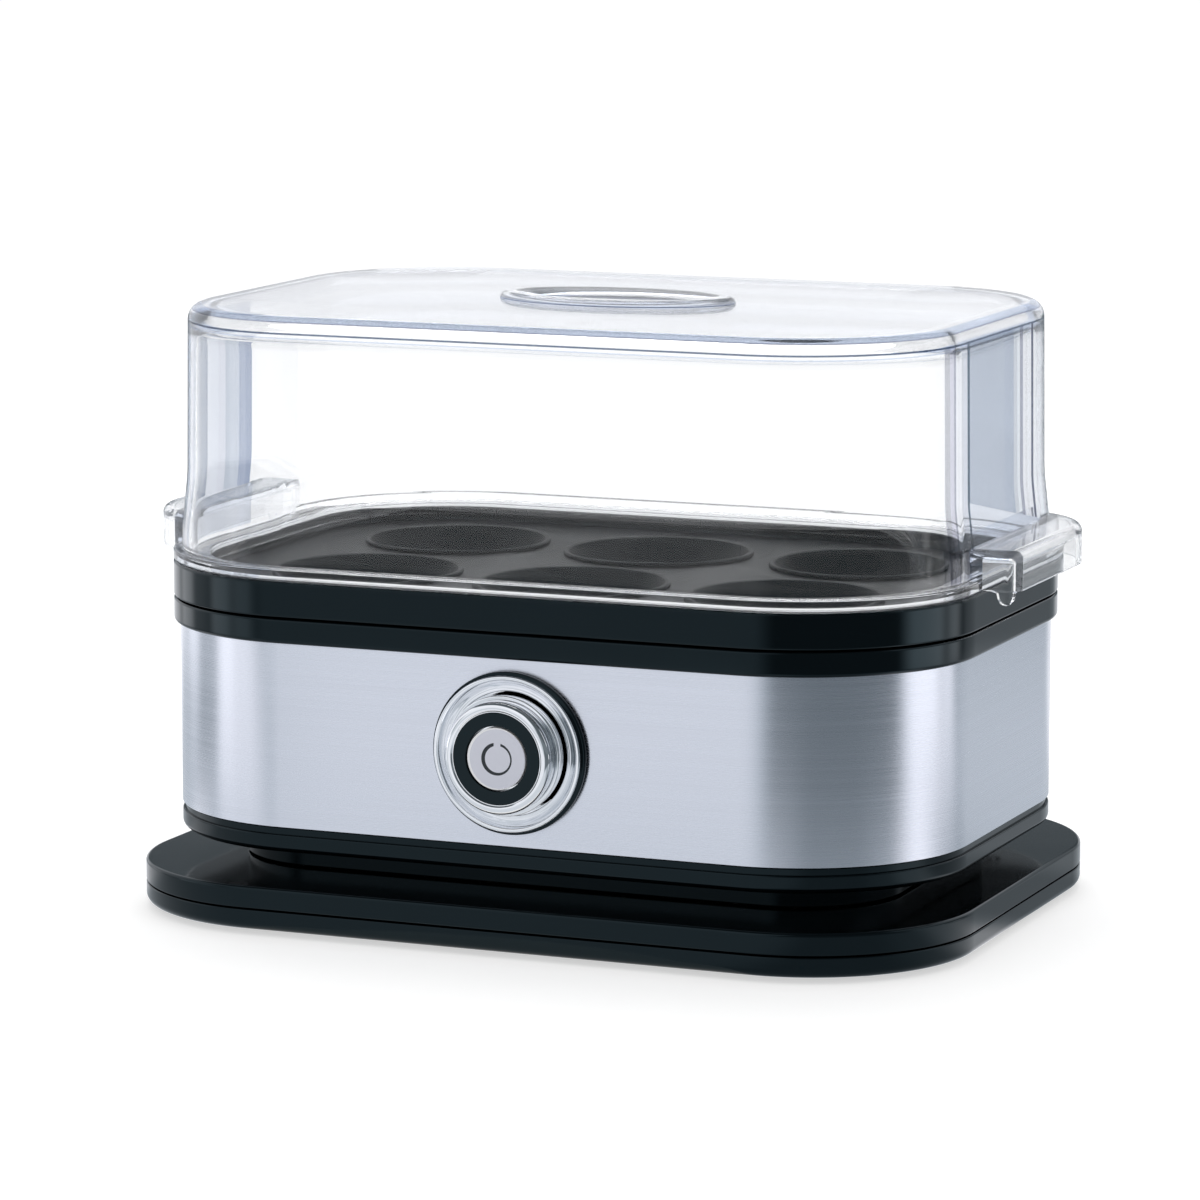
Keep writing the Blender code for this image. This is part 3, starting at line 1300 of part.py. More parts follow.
def crossing(first, second):
    """Where two circles in plan, each (x, y, radius), cross on their +Y side."""
    (x0, y0, r0), (x1, y1, r1) = first, second
    across, along = x1 - x0, y1 - y0
    distance = math.hypot(across, along)
    near = (distance**2 + r0**2 - r1**2) / (2 * distance)
    off = math.sqrt(r0**2 - near**2)
    foot_x, foot_y = x0 + across * near / distance, y0 + along * near / distance
    shift_x, shift_y = -along * off / distance, across * off / distance
    spots = [(foot_x + shift_x, foot_y + shift_y), (foot_x - shift_x, foot_y - shift_y)]
    return max(spots, key=lambda spot: spot[1])


def handle_reach():
    """How far the right handle's face lies from the middle."""
    return BODY.half_x + BAND_OVERHANG + HANDLE_REACH


def handle_front():
    """Where the right handle's square end lies along Y, just short of the body's front corner."""
    _, centre_y = BODY.corner_centre()
    return HANDLE_SQUARE_SHORT - centre_y


def handle_plan(inset, wall_line):
    """Plan of the right handle: a tight front corner, and a wide sweep into the lid's corner."""
    reach = handle_reach() - inset
    front = handle_front() + inset
    sweep = HANDLE_SWEEP - inset
    sweep_x = handle_reach() - HANDLE_SWEEP
    sweep_y = BODY.corner_centre()[1] + HANDLE_SWEPT_PAST - HANDLE_SWEEP
    corner = HANDLE_CORNER - inset
    line_x, line_y = wall_line.corner_centre()
    meet_x, meet_y = crossing((sweep_x, sweep_y, sweep), (line_x, line_y, wall_line.corner))
    meet = math.degrees(math.atan2(meet_y - sweep_y, meet_x - sweep_x))
    inner = math.degrees(math.atan2(meet_y - line_y, meet_x - line_x))
    plan = [(wall_line.half_x, front)]
    plan += arc(reach - corner, front + corner, corner, -90, 0)
    plan += arc(sweep_x, sweep_y, sweep, 0, meet, 3 * EDGE_STEPS)
    return plan + arc(line_x, line_y, wall_line.corner, inner, 0)[1:]


def tongue_plan(start, end):
    """Plan of the right tongue: the handle's front wall from start, round its corner to end."""
    outer = HANDLE_CORNER - TONGUE_INSET
    inner = HANDLE_CORNER - HANDLE_WALL + TONGUE_INSET
    x = handle_reach() - HANDLE_CORNER
    y = handle_front() + HANDLE_CORNER
    outside = arc(x, y, outer, -90, end)
    inside = arc(x, y, inner, end, -90)
    return [(start, y - outer), *outside, *inside, (start, y - inner)]


def make_lid(finishes):
    """Clear moulded cover with flange, stepped skirt, dished pad, two handles and tongues."""
    roof_inner = LID_TOP - LID_ROOF
    round_inner = LID_ROOF_ROUND - LID_WALL
    skirt_top = LID_BOTTOM + LID_FLANGE + LID_SKIRT_RISE
    step_top = skirt_top + LID_STEP_RISE
    edge = LID_FLANGE_EDGE
    flange_top = LID_BOTTOM + LID_FLANGE
    spigot = BAND_OVERHANG - TRAY_LEDGE - LIFT_GAP
    spigot_inner = spigot - LID_SPIGOT_WALL
    profile = [
        *arc(-LID_TOP_INSET - LID_ROOF_ROUND, LID_TOP - LID_ROOF_ROUND, LID_ROOF_ROUND, 90, 0),
        (-LID_WALL_INSET, step_top),
        (-LID_SKIRT_INSET, skirt_top),
        (-LID_SKIRT_INSET, flange_top),
        (BAND_OVERHANG - edge, flange_top),
        (BAND_OVERHANG, flange_top - edge),
        (BAND_OVERHANG, LID_BOTTOM + edge),
        (BAND_OVERHANG - edge, LID_BOTTOM),
        (spigot, LID_BOTTOM),
        (spigot, LID_BOTTOM - LID_SPIGOT_DROP),
        (spigot_inner, LID_BOTTOM - LID_SPIGOT_DROP),
        (spigot_inner, LID_BOTTOM + LID_INNER_FLANGE),
        (-LID_SKIRT_INSET - LID_WALL, LID_BOTTOM + LID_INNER_FLANGE),
        (-LID_SKIRT_INSET - LID_WALL, skirt_top),
        (-LID_WALL_INSET - LID_WALL, step_top),
        *arc(-LID_TOP_INSET - LID_ROOF_ROUND, roof_inner - round_inner, round_inner, 0, 90),
    ]
    lid = Shape().swept(BODY, profile, closed=False)
    lid = lid.to_object("clear_lid", finishes["clear"])

    additions, removals, tongues = Shape(), Shape(), Shape()
    rise = LID_TOP + PAD_RISE
    half_x, half_y = PAD_LENGTH / 2, PAD_WIDTH / 2
    rooted = oval(half_x, half_y, LID_TOP - LID_ROOF / 2)
    base = oval(half_x, half_y, LID_TOP)
    top = oval(half_x - PAD_SLOPE, half_y - PAD_SLOPE, rise)
    additions.rings([rooted, base, top])
    inset = PAD_SLOPE + DISH_RIM
    valley = oval(VALLEY_LENGTH / 2, VALLEY_WIDTH / 2, rise - VALLEY_DEPTH)
    mouth_z = rise + VALLEY_DEPTH
    spread_x = 2 * (half_x - inset) - VALLEY_LENGTH / 2
    spread_y = 2 * (half_y - inset) - VALLEY_WIDTH / 2
    removals.rings([valley, oval(spread_x, spread_y, mouth_z)])

    bottom = HANDLE_TOP - HANDLE_HEIGHT
    edge = HANDLE_EDGE
    middle = BODY.grown(-LID_SKIRT_INSET - LID_WALL / 2)
    outside = BODY.grown(BAND_OVERHANG + SEAT_GAP)
    solid = [(0, bottom)]
    solid += [(edge - across, up) for across, up in arc(0, HANDLE_TOP - edge, edge, 0, 90)]
    hollow = [(HANDLE_WALL, bottom - OVERRUN), (HANDLE_WALL, HANDLE_TOP - HANDLE_WALL)]
    start = handle_reach() - TONGUE_WIDTH
    tip = LID_BOTTOM - TONGUE_DROP
    for side in (-1, 1):
        for shape, levels, line in ((additions, solid, middle), (removals, hollow, outside)):
            rings = [(handle_plan(inset, line), z) for inset, z in levels]
            shape.rings([turned_about(plan, side, z) for plan, z in rings])
        rings = []
        for up, across, end in TONGUE_LEVELS:
            plan = tongue_plan(start + across * TONGUE_WIDTH, end)
            rings.append(turned_about(plan, side, tip + up * (bottom - tip)))
        tongues.rings(rings)
    for helper_name, operation, shape in (
        ("clear_lid_additions", "UNION", additions),
        ("clear_lid_removals", "DIFFERENCE", removals),
        ("clear_lid_tongues", "UNION", tongues),
    ):
        boolean(lid, operation, shape.to_helper(helper_name))


def oval(half_x, half_y, z):
    """An ellipse round the Z axis at one height."""
    points = []
    for side in range(OVAL_SIDES):
        angle = 2 * math.pi * side / OVAL_SIDES
        points.append(Vector((half_x * math.cos(angle), half_y * math.sin(angle), z)))
    return points


def turned_about(plan, side, z):
    """A plan at one height, turned by half a turn about the Z axis where side is -1."""
    return [Vector((side * x, side * y, z)) for x, y in plan]


def main():
    """Builds every piece in the order of assembly."""
    clear_scene()
    finishes = make_finishes()
    make_stand(finishes)
    make_body_pan(finishes)
    make_steel_wrap(finishes)
    make_bezel(finishes)
    make_heater(finishes)
    make_button(finishes)
    make_switch(finishes)
    make_terminals(finishes)
    make_wires(finishes)
    make_tray(finishes)
    make_lid(finishes)


main()
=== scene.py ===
"""Looks of the electric egg cooker: its finishes and fine surfaces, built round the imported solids.

Metres, +Z up, the front towards -Y, +X to the right along the front. Most pieces follow a rounded
rectangle round the Z axis, so their profiles are (grow, height) points: how far outside the body's
side a point lies, and how high. The round pieces are turned (radius, ahead) profiles, where ahead
is how far along the piece's own axis a point lies.
"""

import logging
import math
from dataclasses import dataclass, field
from enum import Enum

import bmesh
import bpy
import numpy as np
from mathutils import Matrix, Vector
from numpy.typing import NDArray


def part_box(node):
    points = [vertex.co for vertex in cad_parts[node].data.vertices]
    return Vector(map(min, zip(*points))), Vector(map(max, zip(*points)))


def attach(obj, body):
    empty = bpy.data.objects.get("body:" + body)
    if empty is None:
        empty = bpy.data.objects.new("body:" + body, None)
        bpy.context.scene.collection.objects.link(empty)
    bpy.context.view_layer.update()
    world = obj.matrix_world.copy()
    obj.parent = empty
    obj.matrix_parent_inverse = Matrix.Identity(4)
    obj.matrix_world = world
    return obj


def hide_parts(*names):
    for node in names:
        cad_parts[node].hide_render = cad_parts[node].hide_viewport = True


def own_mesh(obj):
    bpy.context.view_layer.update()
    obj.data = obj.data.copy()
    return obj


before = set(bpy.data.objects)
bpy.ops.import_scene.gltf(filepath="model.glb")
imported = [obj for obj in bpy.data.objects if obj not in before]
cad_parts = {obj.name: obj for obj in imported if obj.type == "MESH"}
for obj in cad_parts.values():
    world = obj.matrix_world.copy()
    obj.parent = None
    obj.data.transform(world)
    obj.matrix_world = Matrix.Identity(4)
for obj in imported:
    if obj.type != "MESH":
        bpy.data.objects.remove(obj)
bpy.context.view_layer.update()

LOG = logging.getLogger("egg_cooker")
Points = NDArray[np.float64]
Triple = tuple[float, float, float]
Colour = tuple[float, float, float]
Bands = tuple[tuple[float, Colour], ...]
Socket = bpy.types.NodeSocket

IMAGE_WIDTH = 1200
CORNER_STEPS = 28
FILLET_STEPS = 6
SIDES = 96
SEAT_GAP = 0.0003
LIFT_GAP = 0.0004
SHARP_EDGE = math.radians(38)
OVERRUN = 0.002
MARK_SHIFT = 0.0003
# The cosine of a bend is kept under this, and a length that divides is at least TINY.
NEAR_STRAIGHT = 0.9999
TINY = 1e-9
# The share of a corner's radius that a swept point keeps, however far inside it lies.
INNERMOST = 0.02
NORMAL_WEIGHT = 60
# Between these two values lies nearly all of a noise texture.
NOISE_LOW = 0.3
NOISE_HIGH = 0.7
# Keeps the last mark of a ramp just inside its end.
RAMP_MARGIN = 1.01
# The wave texture turns by this many radians over one unit at scale 1.
WAVE_FACTOR = 20
TEAL = (0.60, 0.88, 1.0)
WHITE = (1.0, 1.0, 1.0)
QUARTERS = ((1, 1), (-1, 1), (-1, -1), (1, -1))


class Join(Enum):
    """How a helper shape changes the piece that it meets."""

    ADD = "UNION"
    CUT = "DIFFERENCE"


class Body(Enum):
    """The moving bodies that pieces ride on."""

    BASE = "base"
    TRAY = "tray"
    LID = "lid"
    BUTTON = "power_button"


@dataclass
class Surface:
    """Points and faces of a closed surface."""

    points: Points
    faces: list[list[int]]

    def moved(self, spot: Triple) -> "Surface":
        """The same surface shifted by a vector."""
        return Surface(self.points + np.array(spot), self.faces)


@dataclass(frozen=True)
class Outline:
    """A rounded rectangle round the Z axis: half length, half width and corner radius."""

    half_x: float
    half_y: float
    corner: float

    def corner_centre(self) -> tuple[float, float]:
        """Centre of the corner's arc in the +X, +Y quarter."""
        return self.half_x - self.corner, self.half_y - self.corner

    def grown(self, by: float) -> "Outline":
        """The outline offset outwards by a length."""
        return Outline(self.half_x + by, self.half_y + by, self.corner + by)

    def spot(self, side_x: int, side_y: int, inset: float) -> tuple[float, float]:
        """A spot on a corner's diagonal: the corner's centre plus (radius - inset) / sqrt 2 both ways.

        Args:
            side_x, side_y: which corner, each 1 or -1.
            inset: how far inside the arc the spot lies.

        Returns:
            The spot's x and y.
        """
        centre_x, centre_y = self.corner_centre()
        reach = (self.corner - inset) / math.sqrt(2)
        return side_x * (centre_x + reach), side_y * (centre_y + reach)

    def stations(self, steps: int = CORNER_STEPS) -> tuple[Points, Points]:
        """Corner centres and outward directions round the outline.

        Each quarter turn holds steps + 1 directions (cos a, sin a) about its own corner centre, so
        the point on the outline grown by g is centre + (corner + g) * direction.

        Args:
            steps: how many pieces each corner's arc has.

        Returns:
            Two arrays of (x, y) rows, one row for each point round the outline.
        """
        angles = np.linspace(0, np.pi / 2, steps + 1)
        turns = (np.arange(4)[:, None] * np.pi / 2 + angles).ravel()
        signs = np.repeat(np.array(QUARTERS, float), steps + 1, axis=0)
        return signs * np.array(self.corner_centre()), np.column_stack([np.cos(turns), np.sin(turns)])


def arc(across: float, up: float, radius: float, start: float, end: float, steps: int) -> Points:
    """Points of an arc: centre + radius * (cos a, sin a), with a from start to end in degrees.

    Args:
        across, up: the arc's centre.
        radius: the arc's radius.
        start, end: its end angles, in degrees.
        steps: how many pieces it has.

    Returns:
        steps + 1 rows of two coordinates.
    """
    angles = np.radians(np.linspace(start, end, steps + 1))
    return np.column_stack([across + radius * np.cos(angles), up + radius * np.sin(angles)])


def filleted(corners: list[Triple], closed: bool = True) -> Points:
    """A profile whose corners are rounded, from rows of (across, up, fillet radius).

    With u and v the unit vectors from a corner to its neighbours and a the angle between them, the
    fillet starts radius / tan(a / 2) along u, ends as far along v, and its centre lies
    radius / sin(a / 2) along the bisector. The arc turns from the first tangent point to the
    second: its radius vector is (sin((1 - s) w) p + sin(s w) q) / sin(w), with s from 0 to 1.

    Args:
        corners: the profile's corners, in order.
        closed: whether the last corner joins the first; the ends of an open profile stay sharp.

    Returns:
        The rounded profile's points.
    """
    table = np.array(corners, float)
    spots, radii = table[:, :2], table[:, 2].copy()
    if not closed:
        radii[[0, -1]] = 0
    before = np.roll(spots, 1, axis=0) - spots
    after = np.roll(spots, -1, axis=0) - spots
    before /= np.linalg.norm(before, axis=1, keepdims=True)
    after /= np.linalg.norm(after, axis=1, keepdims=True)
    half = np.arccos(np.clip((before * after).sum(axis=1), -NEAR_STRAIGHT, NEAR_STRAIGHT)) / 2
    bisector = before + after
    bisector /= np.maximum(np.linalg.norm(bisector, axis=1, keepdims=True), TINY)
    centres = spots + bisector * (radii / np.sin(half))[:, None]
    first = spots + before * (radii / np.tan(half))[:, None] - centres
    last = spots + after * (radii / np.tan(half))[:, None] - centres
    turn = (np.pi - 2 * half)[:, None, None]
    share = np.linspace(0, 1, FILLET_STEPS + 1)[None, :, None]
    arcs = np.sin((1 - share) * turn) * first[:, None] + np.sin(share * turn) * last[:, None]
    rounded = centres[:, None] + arcs / np.sin(turn)
    keep = np.ones((len(spots), FILLET_STEPS + 1), bool)
    keep[radii == 0, 1:] = False
    rounded[radii == 0, 0] = spots[radii == 0]
    return rounded[keep]


def lattice(points: Points, closed: bool) -> Surface:
    """A closed surface over a grid whose rows are rings.

    Cell (i, j) joins points (i, j), (i, j + 1), (i + 1, j + 1) and (i + 1, j), with columns taken
    round. Where closed, rows are taken round too; otherwise a flat face closes each end row.

    Args:
        points: an array of rows by columns by 3.
        closed: whether the last row joins the first.

    Returns:
        The surface.
    """
    rows, columns, _ = points.shape
    index = np.arange(rows * columns).reshape(rows, columns)
    following = np.roll(index, -1, axis=0)
    if not closed:
        index, following = index[:-1], following[:-1]
    cells = [index, np.roll(index, -1, axis=1), np.roll(following, -1, axis=1), following]
    faces = np.stack(cells, axis=-1).reshape(-1, 4).tolist()
    if not closed:
        faces.append(index[0, ::-1].tolist())
        faces.append(following[-1].tolist())
    return Surface(points.reshape(-1, 3), faces)


def swept(outline: Outline, profile: Points, closed: bool = True) -> Surface:
    """Carries a (grow, height) profile round an outline: point (i, j) is centre j plus
    (corner + grow i) * direction j, at height i.

    Args:
        outline: the outline at grow 0.
        profile: rows of (grow, height).
        closed: whether the profile closes on itself, as a ring's does.

    Returns:
        The surface.
    """
    centres, directions = outline.stations()
    reach = np.maximum(outline.corner + profile[:, 0], outline.corner * INNERMOST)
    plan = centres[None] + reach[:, None, None] * directions[None]
    heights = np.broadcast_to(profile[:, 1][:, None, None], plan.shape[:2] + (1,))
    return lattice(np.concatenate([plan, heights], axis=2), closed)


def turned(profile: Points, sides: int = SIDES, closed: bool = False) -> Surface:
    """Turns a (radius, ahead) profile about the Z axis: (r cos a, r sin a, ahead).

    Args:
        profile: rows of (radius, ahead).
        sides: how many points each ring has.
        closed: whether the profile closes on itself, as a collar's does.

    Returns:
        The surface.
    """
    angles = np.arange(sides) * 2 * np.pi / sides
    ring = np.column_stack([np.cos(angles), np.sin(angles)])
    plan = profile[:, 0][:, None, None] * ring[None]
    ahead = np.broadcast_to(profile[:, 1][:, None, None], plan.shape[:2] + (1,))
    return lattice(np.concatenate([plan, ahead], axis=2), closed)


def stacked(plans: list[Points], heights: list[float]) -> Surface:
    """Joins flat outlines of equally many points, each at its own height."""
    rings = [np.column_stack([plan, np.full(len(plan), z)]) for plan, z in zip(plans, heights)]
    return lattice(np.array(rings), closed=False)


def facing_front(surface: Surface, centre: Vector) -> Surface:
    """Turns a surface's own Z axis to the front and puts its origin at centre: (x, -z, y)."""
    points = surface.points[:, [0, 2, 1]] * np.array([1, -1, 1])
    return Surface(points + np.array(centre), surface.faces)


def cylinder(spot: tuple[float, float], radius: float, low: float, high: float) -> Surface:
    """An upright round helper between two heights."""
    profile = np.array([(radius, low), (radius, high)])
    return turned(profile, sides=SIDES // 2).moved((*spot, 0))


def middle_of(node: str) -> Vector:
    """The middle of a CAD node's box."""
    low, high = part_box(node)
    return (low + high) / 2


def to_object(surface: Surface, name: str) -> bpy.types.Object:
    """Makes a mesh object whose faces all point outwards.

    Args:
        surface: its points and faces.
        name: the name of the object and its mesh.

    Returns:
        The object, in the scene.
    """
    mesh = bpy.data.meshes.new(name)
    mesh.from_pydata(surface.points.tolist(), [], surface.faces)
    shape = bmesh.new()
    shape.from_mesh(mesh)
    bmesh.ops.recalc_face_normals(shape, faces=shape.faces)
    shape.to_mesh(mesh)
    shape.free()
    item = bpy.data.objects.new(name, mesh)
    bpy.context.scene.collection.objects.link(item)
    return item


def settle(item: bpy.types.Object) -> None:
    """Turns an object's modifiers into its mesh.

    Args:
        item: the object.
    """
    evaluated = item.evaluated_get(bpy.context.evaluated_depsgraph_get())
    mesh = bpy.data.meshes.new_from_object(evaluated)
    old = item.data
    item.modifiers.clear()
    item.data = mesh
    bpy.data.meshes.remove(old)


def combine(item: bpy.types.Object, how: Join, helper: Surface) -> None:
    """Adds a helper shape to a piece, or cuts it out.

    Args:
        item: the piece.
        how: whether the helper is added or cut.
        helper: the helper's closed surface.
    """
    tool = to_object(helper, item.name + "_helper")
    modifier = item.modifiers.new("helper", "BOOLEAN")
    modifier.operation = how.value
    modifier.object = tool
    modifier.solver = "EXACT"
    settle(item)
    bpy.data.objects.remove(tool)


def shade(item: bpy.types.Object) -> None:
    """Shades a piece smooth between its sharp edges, led by its large faces.

    Args:
        item: the piece.
    """
    item.data.shade_smooth()
    item.data.set_sharp_from_angle(angle=SHARP_EDGE)
    weighted = item.modifiers.new("weighted", "WEIGHTED_NORMAL")
    weighted.keep_sharp = True
    weighted.weight = NORMAL_WEIGHT
    settle(item)


class Graph:
    """The node tree of one material, with short calls that add and join nodes."""

    def __init__(self, name: str) -> None:
        """Starts a material with an empty tree, its output and its object coordinates.

        Args:
            name: the material's name.
        """
        self.material = bpy.data.materials.new(name)
        self.material.use_nodes = True
        self.tree = self.material.node_tree
        self.tree.nodes.clear()
        self.output = self.add("ShaderNodeOutputMaterial")
        self.place = self.add("ShaderNodeTexCoord").outputs["Object"]

    def add(self, kind: str, **settings: object) -> bpy.types.Node:
        """Adds a node and sets its properties.

        Args:
            kind: the node's type.
            settings: one entry for each property.

        Returns:
            The node.
        """
        node = self.tree.nodes.new(kind)
        for name, value in settings.items():
            setattr(node, name, value)
        return node

    def join(self, source: Socket, target: Socket) -> None:
        """Links one socket to another."""
        self.tree.links.new(source, target)

    def scaled(self, scale: Triple, turn: Triple = (0, 0, 0)) -> Socket:
        """Object coordinates stretched along each axis, and turned if asked.

        Args:
            scale: the factor along each axis.
            turn: the turn about each axis, in radians.

        Returns:
            The changed coordinates.
        """
        mapping = self.add("ShaderNodeMapping")
        mapping.inputs["Scale"].default_value = scale
        mapping.inputs["Rotation"].default_value = turn
        self.join(self.place, mapping.inputs["Vector"])
        return mapping.outputs["Vector"]

    def noise(self, vector: Socket, scale: float, detail: float = 2) -> Socket:
        """Noise between 0 and 1.

        Args:
            vector: where it is read.
            scale: how many times finer than one unit its swells are.
            detail: how many finer layers lie over them.

        Returns:
            The noise.
        """
        node = self.add("ShaderNodeTexNoise")
        node.inputs["Scale"].default_value = scale
        node.inputs["Detail"].default_value = detail
        self.join(vector, node.inputs["Vector"])
        return node.outputs["Fac"]

    def spread(self, value: Socket, low: float, high: float) -> Socket:
        """Carries the usual range of a noise to another range.

        Args:
            value: the noise.
            low, high: the new range.

        Returns:
            The new value.
        """
        node = self.add("ShaderNodeMapRange")
        settings = {"From Min": NOISE_LOW, "From Max": NOISE_HIGH, "To Min": low, "To Max": high}
        for name, number in settings.items():
            node.inputs[name].default_value = number
        self.join(value, node.inputs["Value"])
        return node.outputs["Result"]

    def math(self, operation: str, first: object, second: object = 0.0) -> Socket:
        """One step of reckoning with two values.

        Args:
            operation: what is done with them.
            first, second: the values, each a socket or a number.

        Returns:
            The result.
        """
        node = self.add("ShaderNodeMath", operation=operation)
        for value, target in ((first, node.inputs[0]), (second, node.inputs[1])):
            if isinstance(value, Socket):
                self.join(value, target)
            else:
                target.default_value = value
        return node.outputs["Value"]

    def all_of(self, *conditions: Socket) -> Socket:
        """Where several conditions hold together, as the product of their values, each 0 or 1.

        Args:
            conditions: the conditions' sockets.

        Returns:
            1 where all of them hold, otherwise 0.
        """
        held = conditions[0]
        for condition in conditions[1:]:
            held = self.math("MULTIPLY", held, condition)
        return held

    def tinted(self, colour: Colour, value: Socket) -> Socket:
        """A colour times a value.

        Args:
            colour: the colour.
            value: the value, or a second colour.

        Returns:
            The product.
        """
        node = self.add("ShaderNodeMix", data_type="RGBA", blend_type="MULTIPLY")
        node.inputs["Factor"].default_value = 1
        node.inputs[6].default_value = (*colour, 1)
        self.join(value, node.inputs[7])
        return node.outputs[2]

    def mixed(self, value: Socket, first: object, second: object) -> Socket:
        """A colour between two.

        Args:
            value: how far from the first colour to the second, from 0 to 1.
            first, second: the two, each a colour or a socket.

        Returns:
            The mixed colour.
        """
        node = self.add("ShaderNodeMix", data_type="RGBA")
        for colour, target in ((first, node.inputs[6]), (second, node.inputs[7])):
            if isinstance(colour, Socket):
                self.join(colour, target)
            else:
                target.default_value = (*colour, 1)
        self.join(value, node.inputs["Factor"])
        return node.outputs[2]

    def ramp(self, value: Socket, stops: Bands) -> Socket:
        """Colours drawn evenly from stop to stop.

        Args:
            value: where the ramp is read, from 0 to 1.
            stops: pairs of a place from 0 to 1 and its colour.

        Returns:
            The colour.
        """
        node = self.add("ShaderNodeValToRGB")
        band = node.color_ramp.elements
        while len(band) < len(stops):
            band.new(0.5)
        for element, (place, colour) in zip(band, stops):
            element.position = place
            element.color = (*colour, 1)
        self.join(value, node.inputs["Fac"])
        return node.outputs["Color"]

    def steps(self, value: Socket, marks: Bands) -> Socket:
        """Colours that change in steps along a value.

        Args:
            value: the value.
            marks: pairs of where a colour starts and the colour; the first also holds below it.

        Returns:
            The colour.
        """
        first, last = marks[0][0], marks[-1][0]
        span = (last - first) * RAMP_MARGIN
        node = self.add("ShaderNodeMapRange")
        node.inputs["From Min"].default_value = first
        node.inputs["From Max"].default_value = first + span
        self.join(value, node.inputs["Value"])
        stops = tuple(((place - first) / span, colour) for place, colour in marks)
        colours = self.ramp(node.outputs["Result"], stops)
        colours.node.color_ramp.interpolation = "CONSTANT"
        return colours

    def product(self, first: Socket, second: Socket) -> Socket:
        """Two colours multiplied.

        Args:
            first, second: the colours.

        Returns:
            Their product.
        """
        node = self.add("ShaderNodeVectorMath", operation="MULTIPLY")
        self.join(first, node.inputs[0])
        self.join(second, node.inputs[1])
        return node.outputs["Vector"]

    def bump(self, height: Socket, depth: float, strength: float = 1.0) -> Socket:
        """Normals of a height field.

        Args:
            height: the field, from 0 to 1.
            depth: its full swing, in metres.
            strength: how much of it is used.

        Returns:
            The normals.
        """
        node = self.add("ShaderNodeBump")
        node.inputs["Distance"].default_value = depth
        node.inputs["Strength"].default_value = strength
        self.join(height, node.inputs["Height"])
        return node.outputs["Normal"]

    def principled(self, **values: object) -> bpy.types.Node:
        """The shader, joined to the output, with its sockets set or linked.

        Args:
            values: one entry for each socket, its name in lower case with _ for spaces, and a
                number, a colour or a socket to link.

        Returns:
            The shader node.
        """
        shader = self.add("ShaderNodeBsdfPrincipled")
        for name, value in values.items():
            socket = shader.inputs[name.replace("_", " ").title().replace("Ior", "IOR")]
            if isinstance(value, Socket):
                self.join(value, socket)
            else:
                socket.default_value = (*value, 1) if isinstance(value, tuple) else value
        self.join(shader.outputs["BSDF"], self.output.inputs["Surface"])
        return shader


@dataclass(frozen=True)
class Finish:
    """What every finish has: the record's slot that it stands for."""

    slot: str

    def material(self) -> bpy.types.Material:
        """The finish's material, made once."""
        found = bpy.data.materials.get(self.slot + "_look")
        return found or self.build(Graph(self.slot + "_look"))

    def build(self, graph: Graph) -> bpy.types.Material:
        """Fills the material's tree and gives the material back."""
        raise NotImplementedError


@dataclass(frozen=True)
class MouldedPlastic(Finish):
    """Opaque moulded plastic: a faint grain, and a gloss that wanders a little."""

    colour: Colour = (0.5, 0.5, 0.5)
    roughness: float = 0.4
    roughness_swing: float = 0.04
    grain: float = 900.0
    grain_depth: float = 0.00001
    index: float = 1.45
    gloss_tint: Colour = WHITE
    wander: float = 45.0
    darkest: float = 0.9
    brightest: float = 1.08

    def build(self, graph: Graph) -> bpy.types.Material:
        """Colour and gloss follow a slow noise, and the grain is a fine bump.

        Args:
            graph: the material's empty tree.

        Returns:
            The material.
        """
        slow = graph.noise(graph.place, self.wander, 3)
        fine = graph.noise(graph.place, self.grain, 2)
        low, high = self.roughness - self.roughness_swing, self.roughness + self.roughness_swing
        graph.principled(
            base_color=graph.tinted(self.colour, graph.spread(slow, self.darkest, self.brightest)),
            roughness=graph.spread(slow, low, high),
            ior=self.index,
            specular_tint=self.gloss_tint,
            normal=graph.bump(fine, self.grain_depth),
        )
        return graph.material


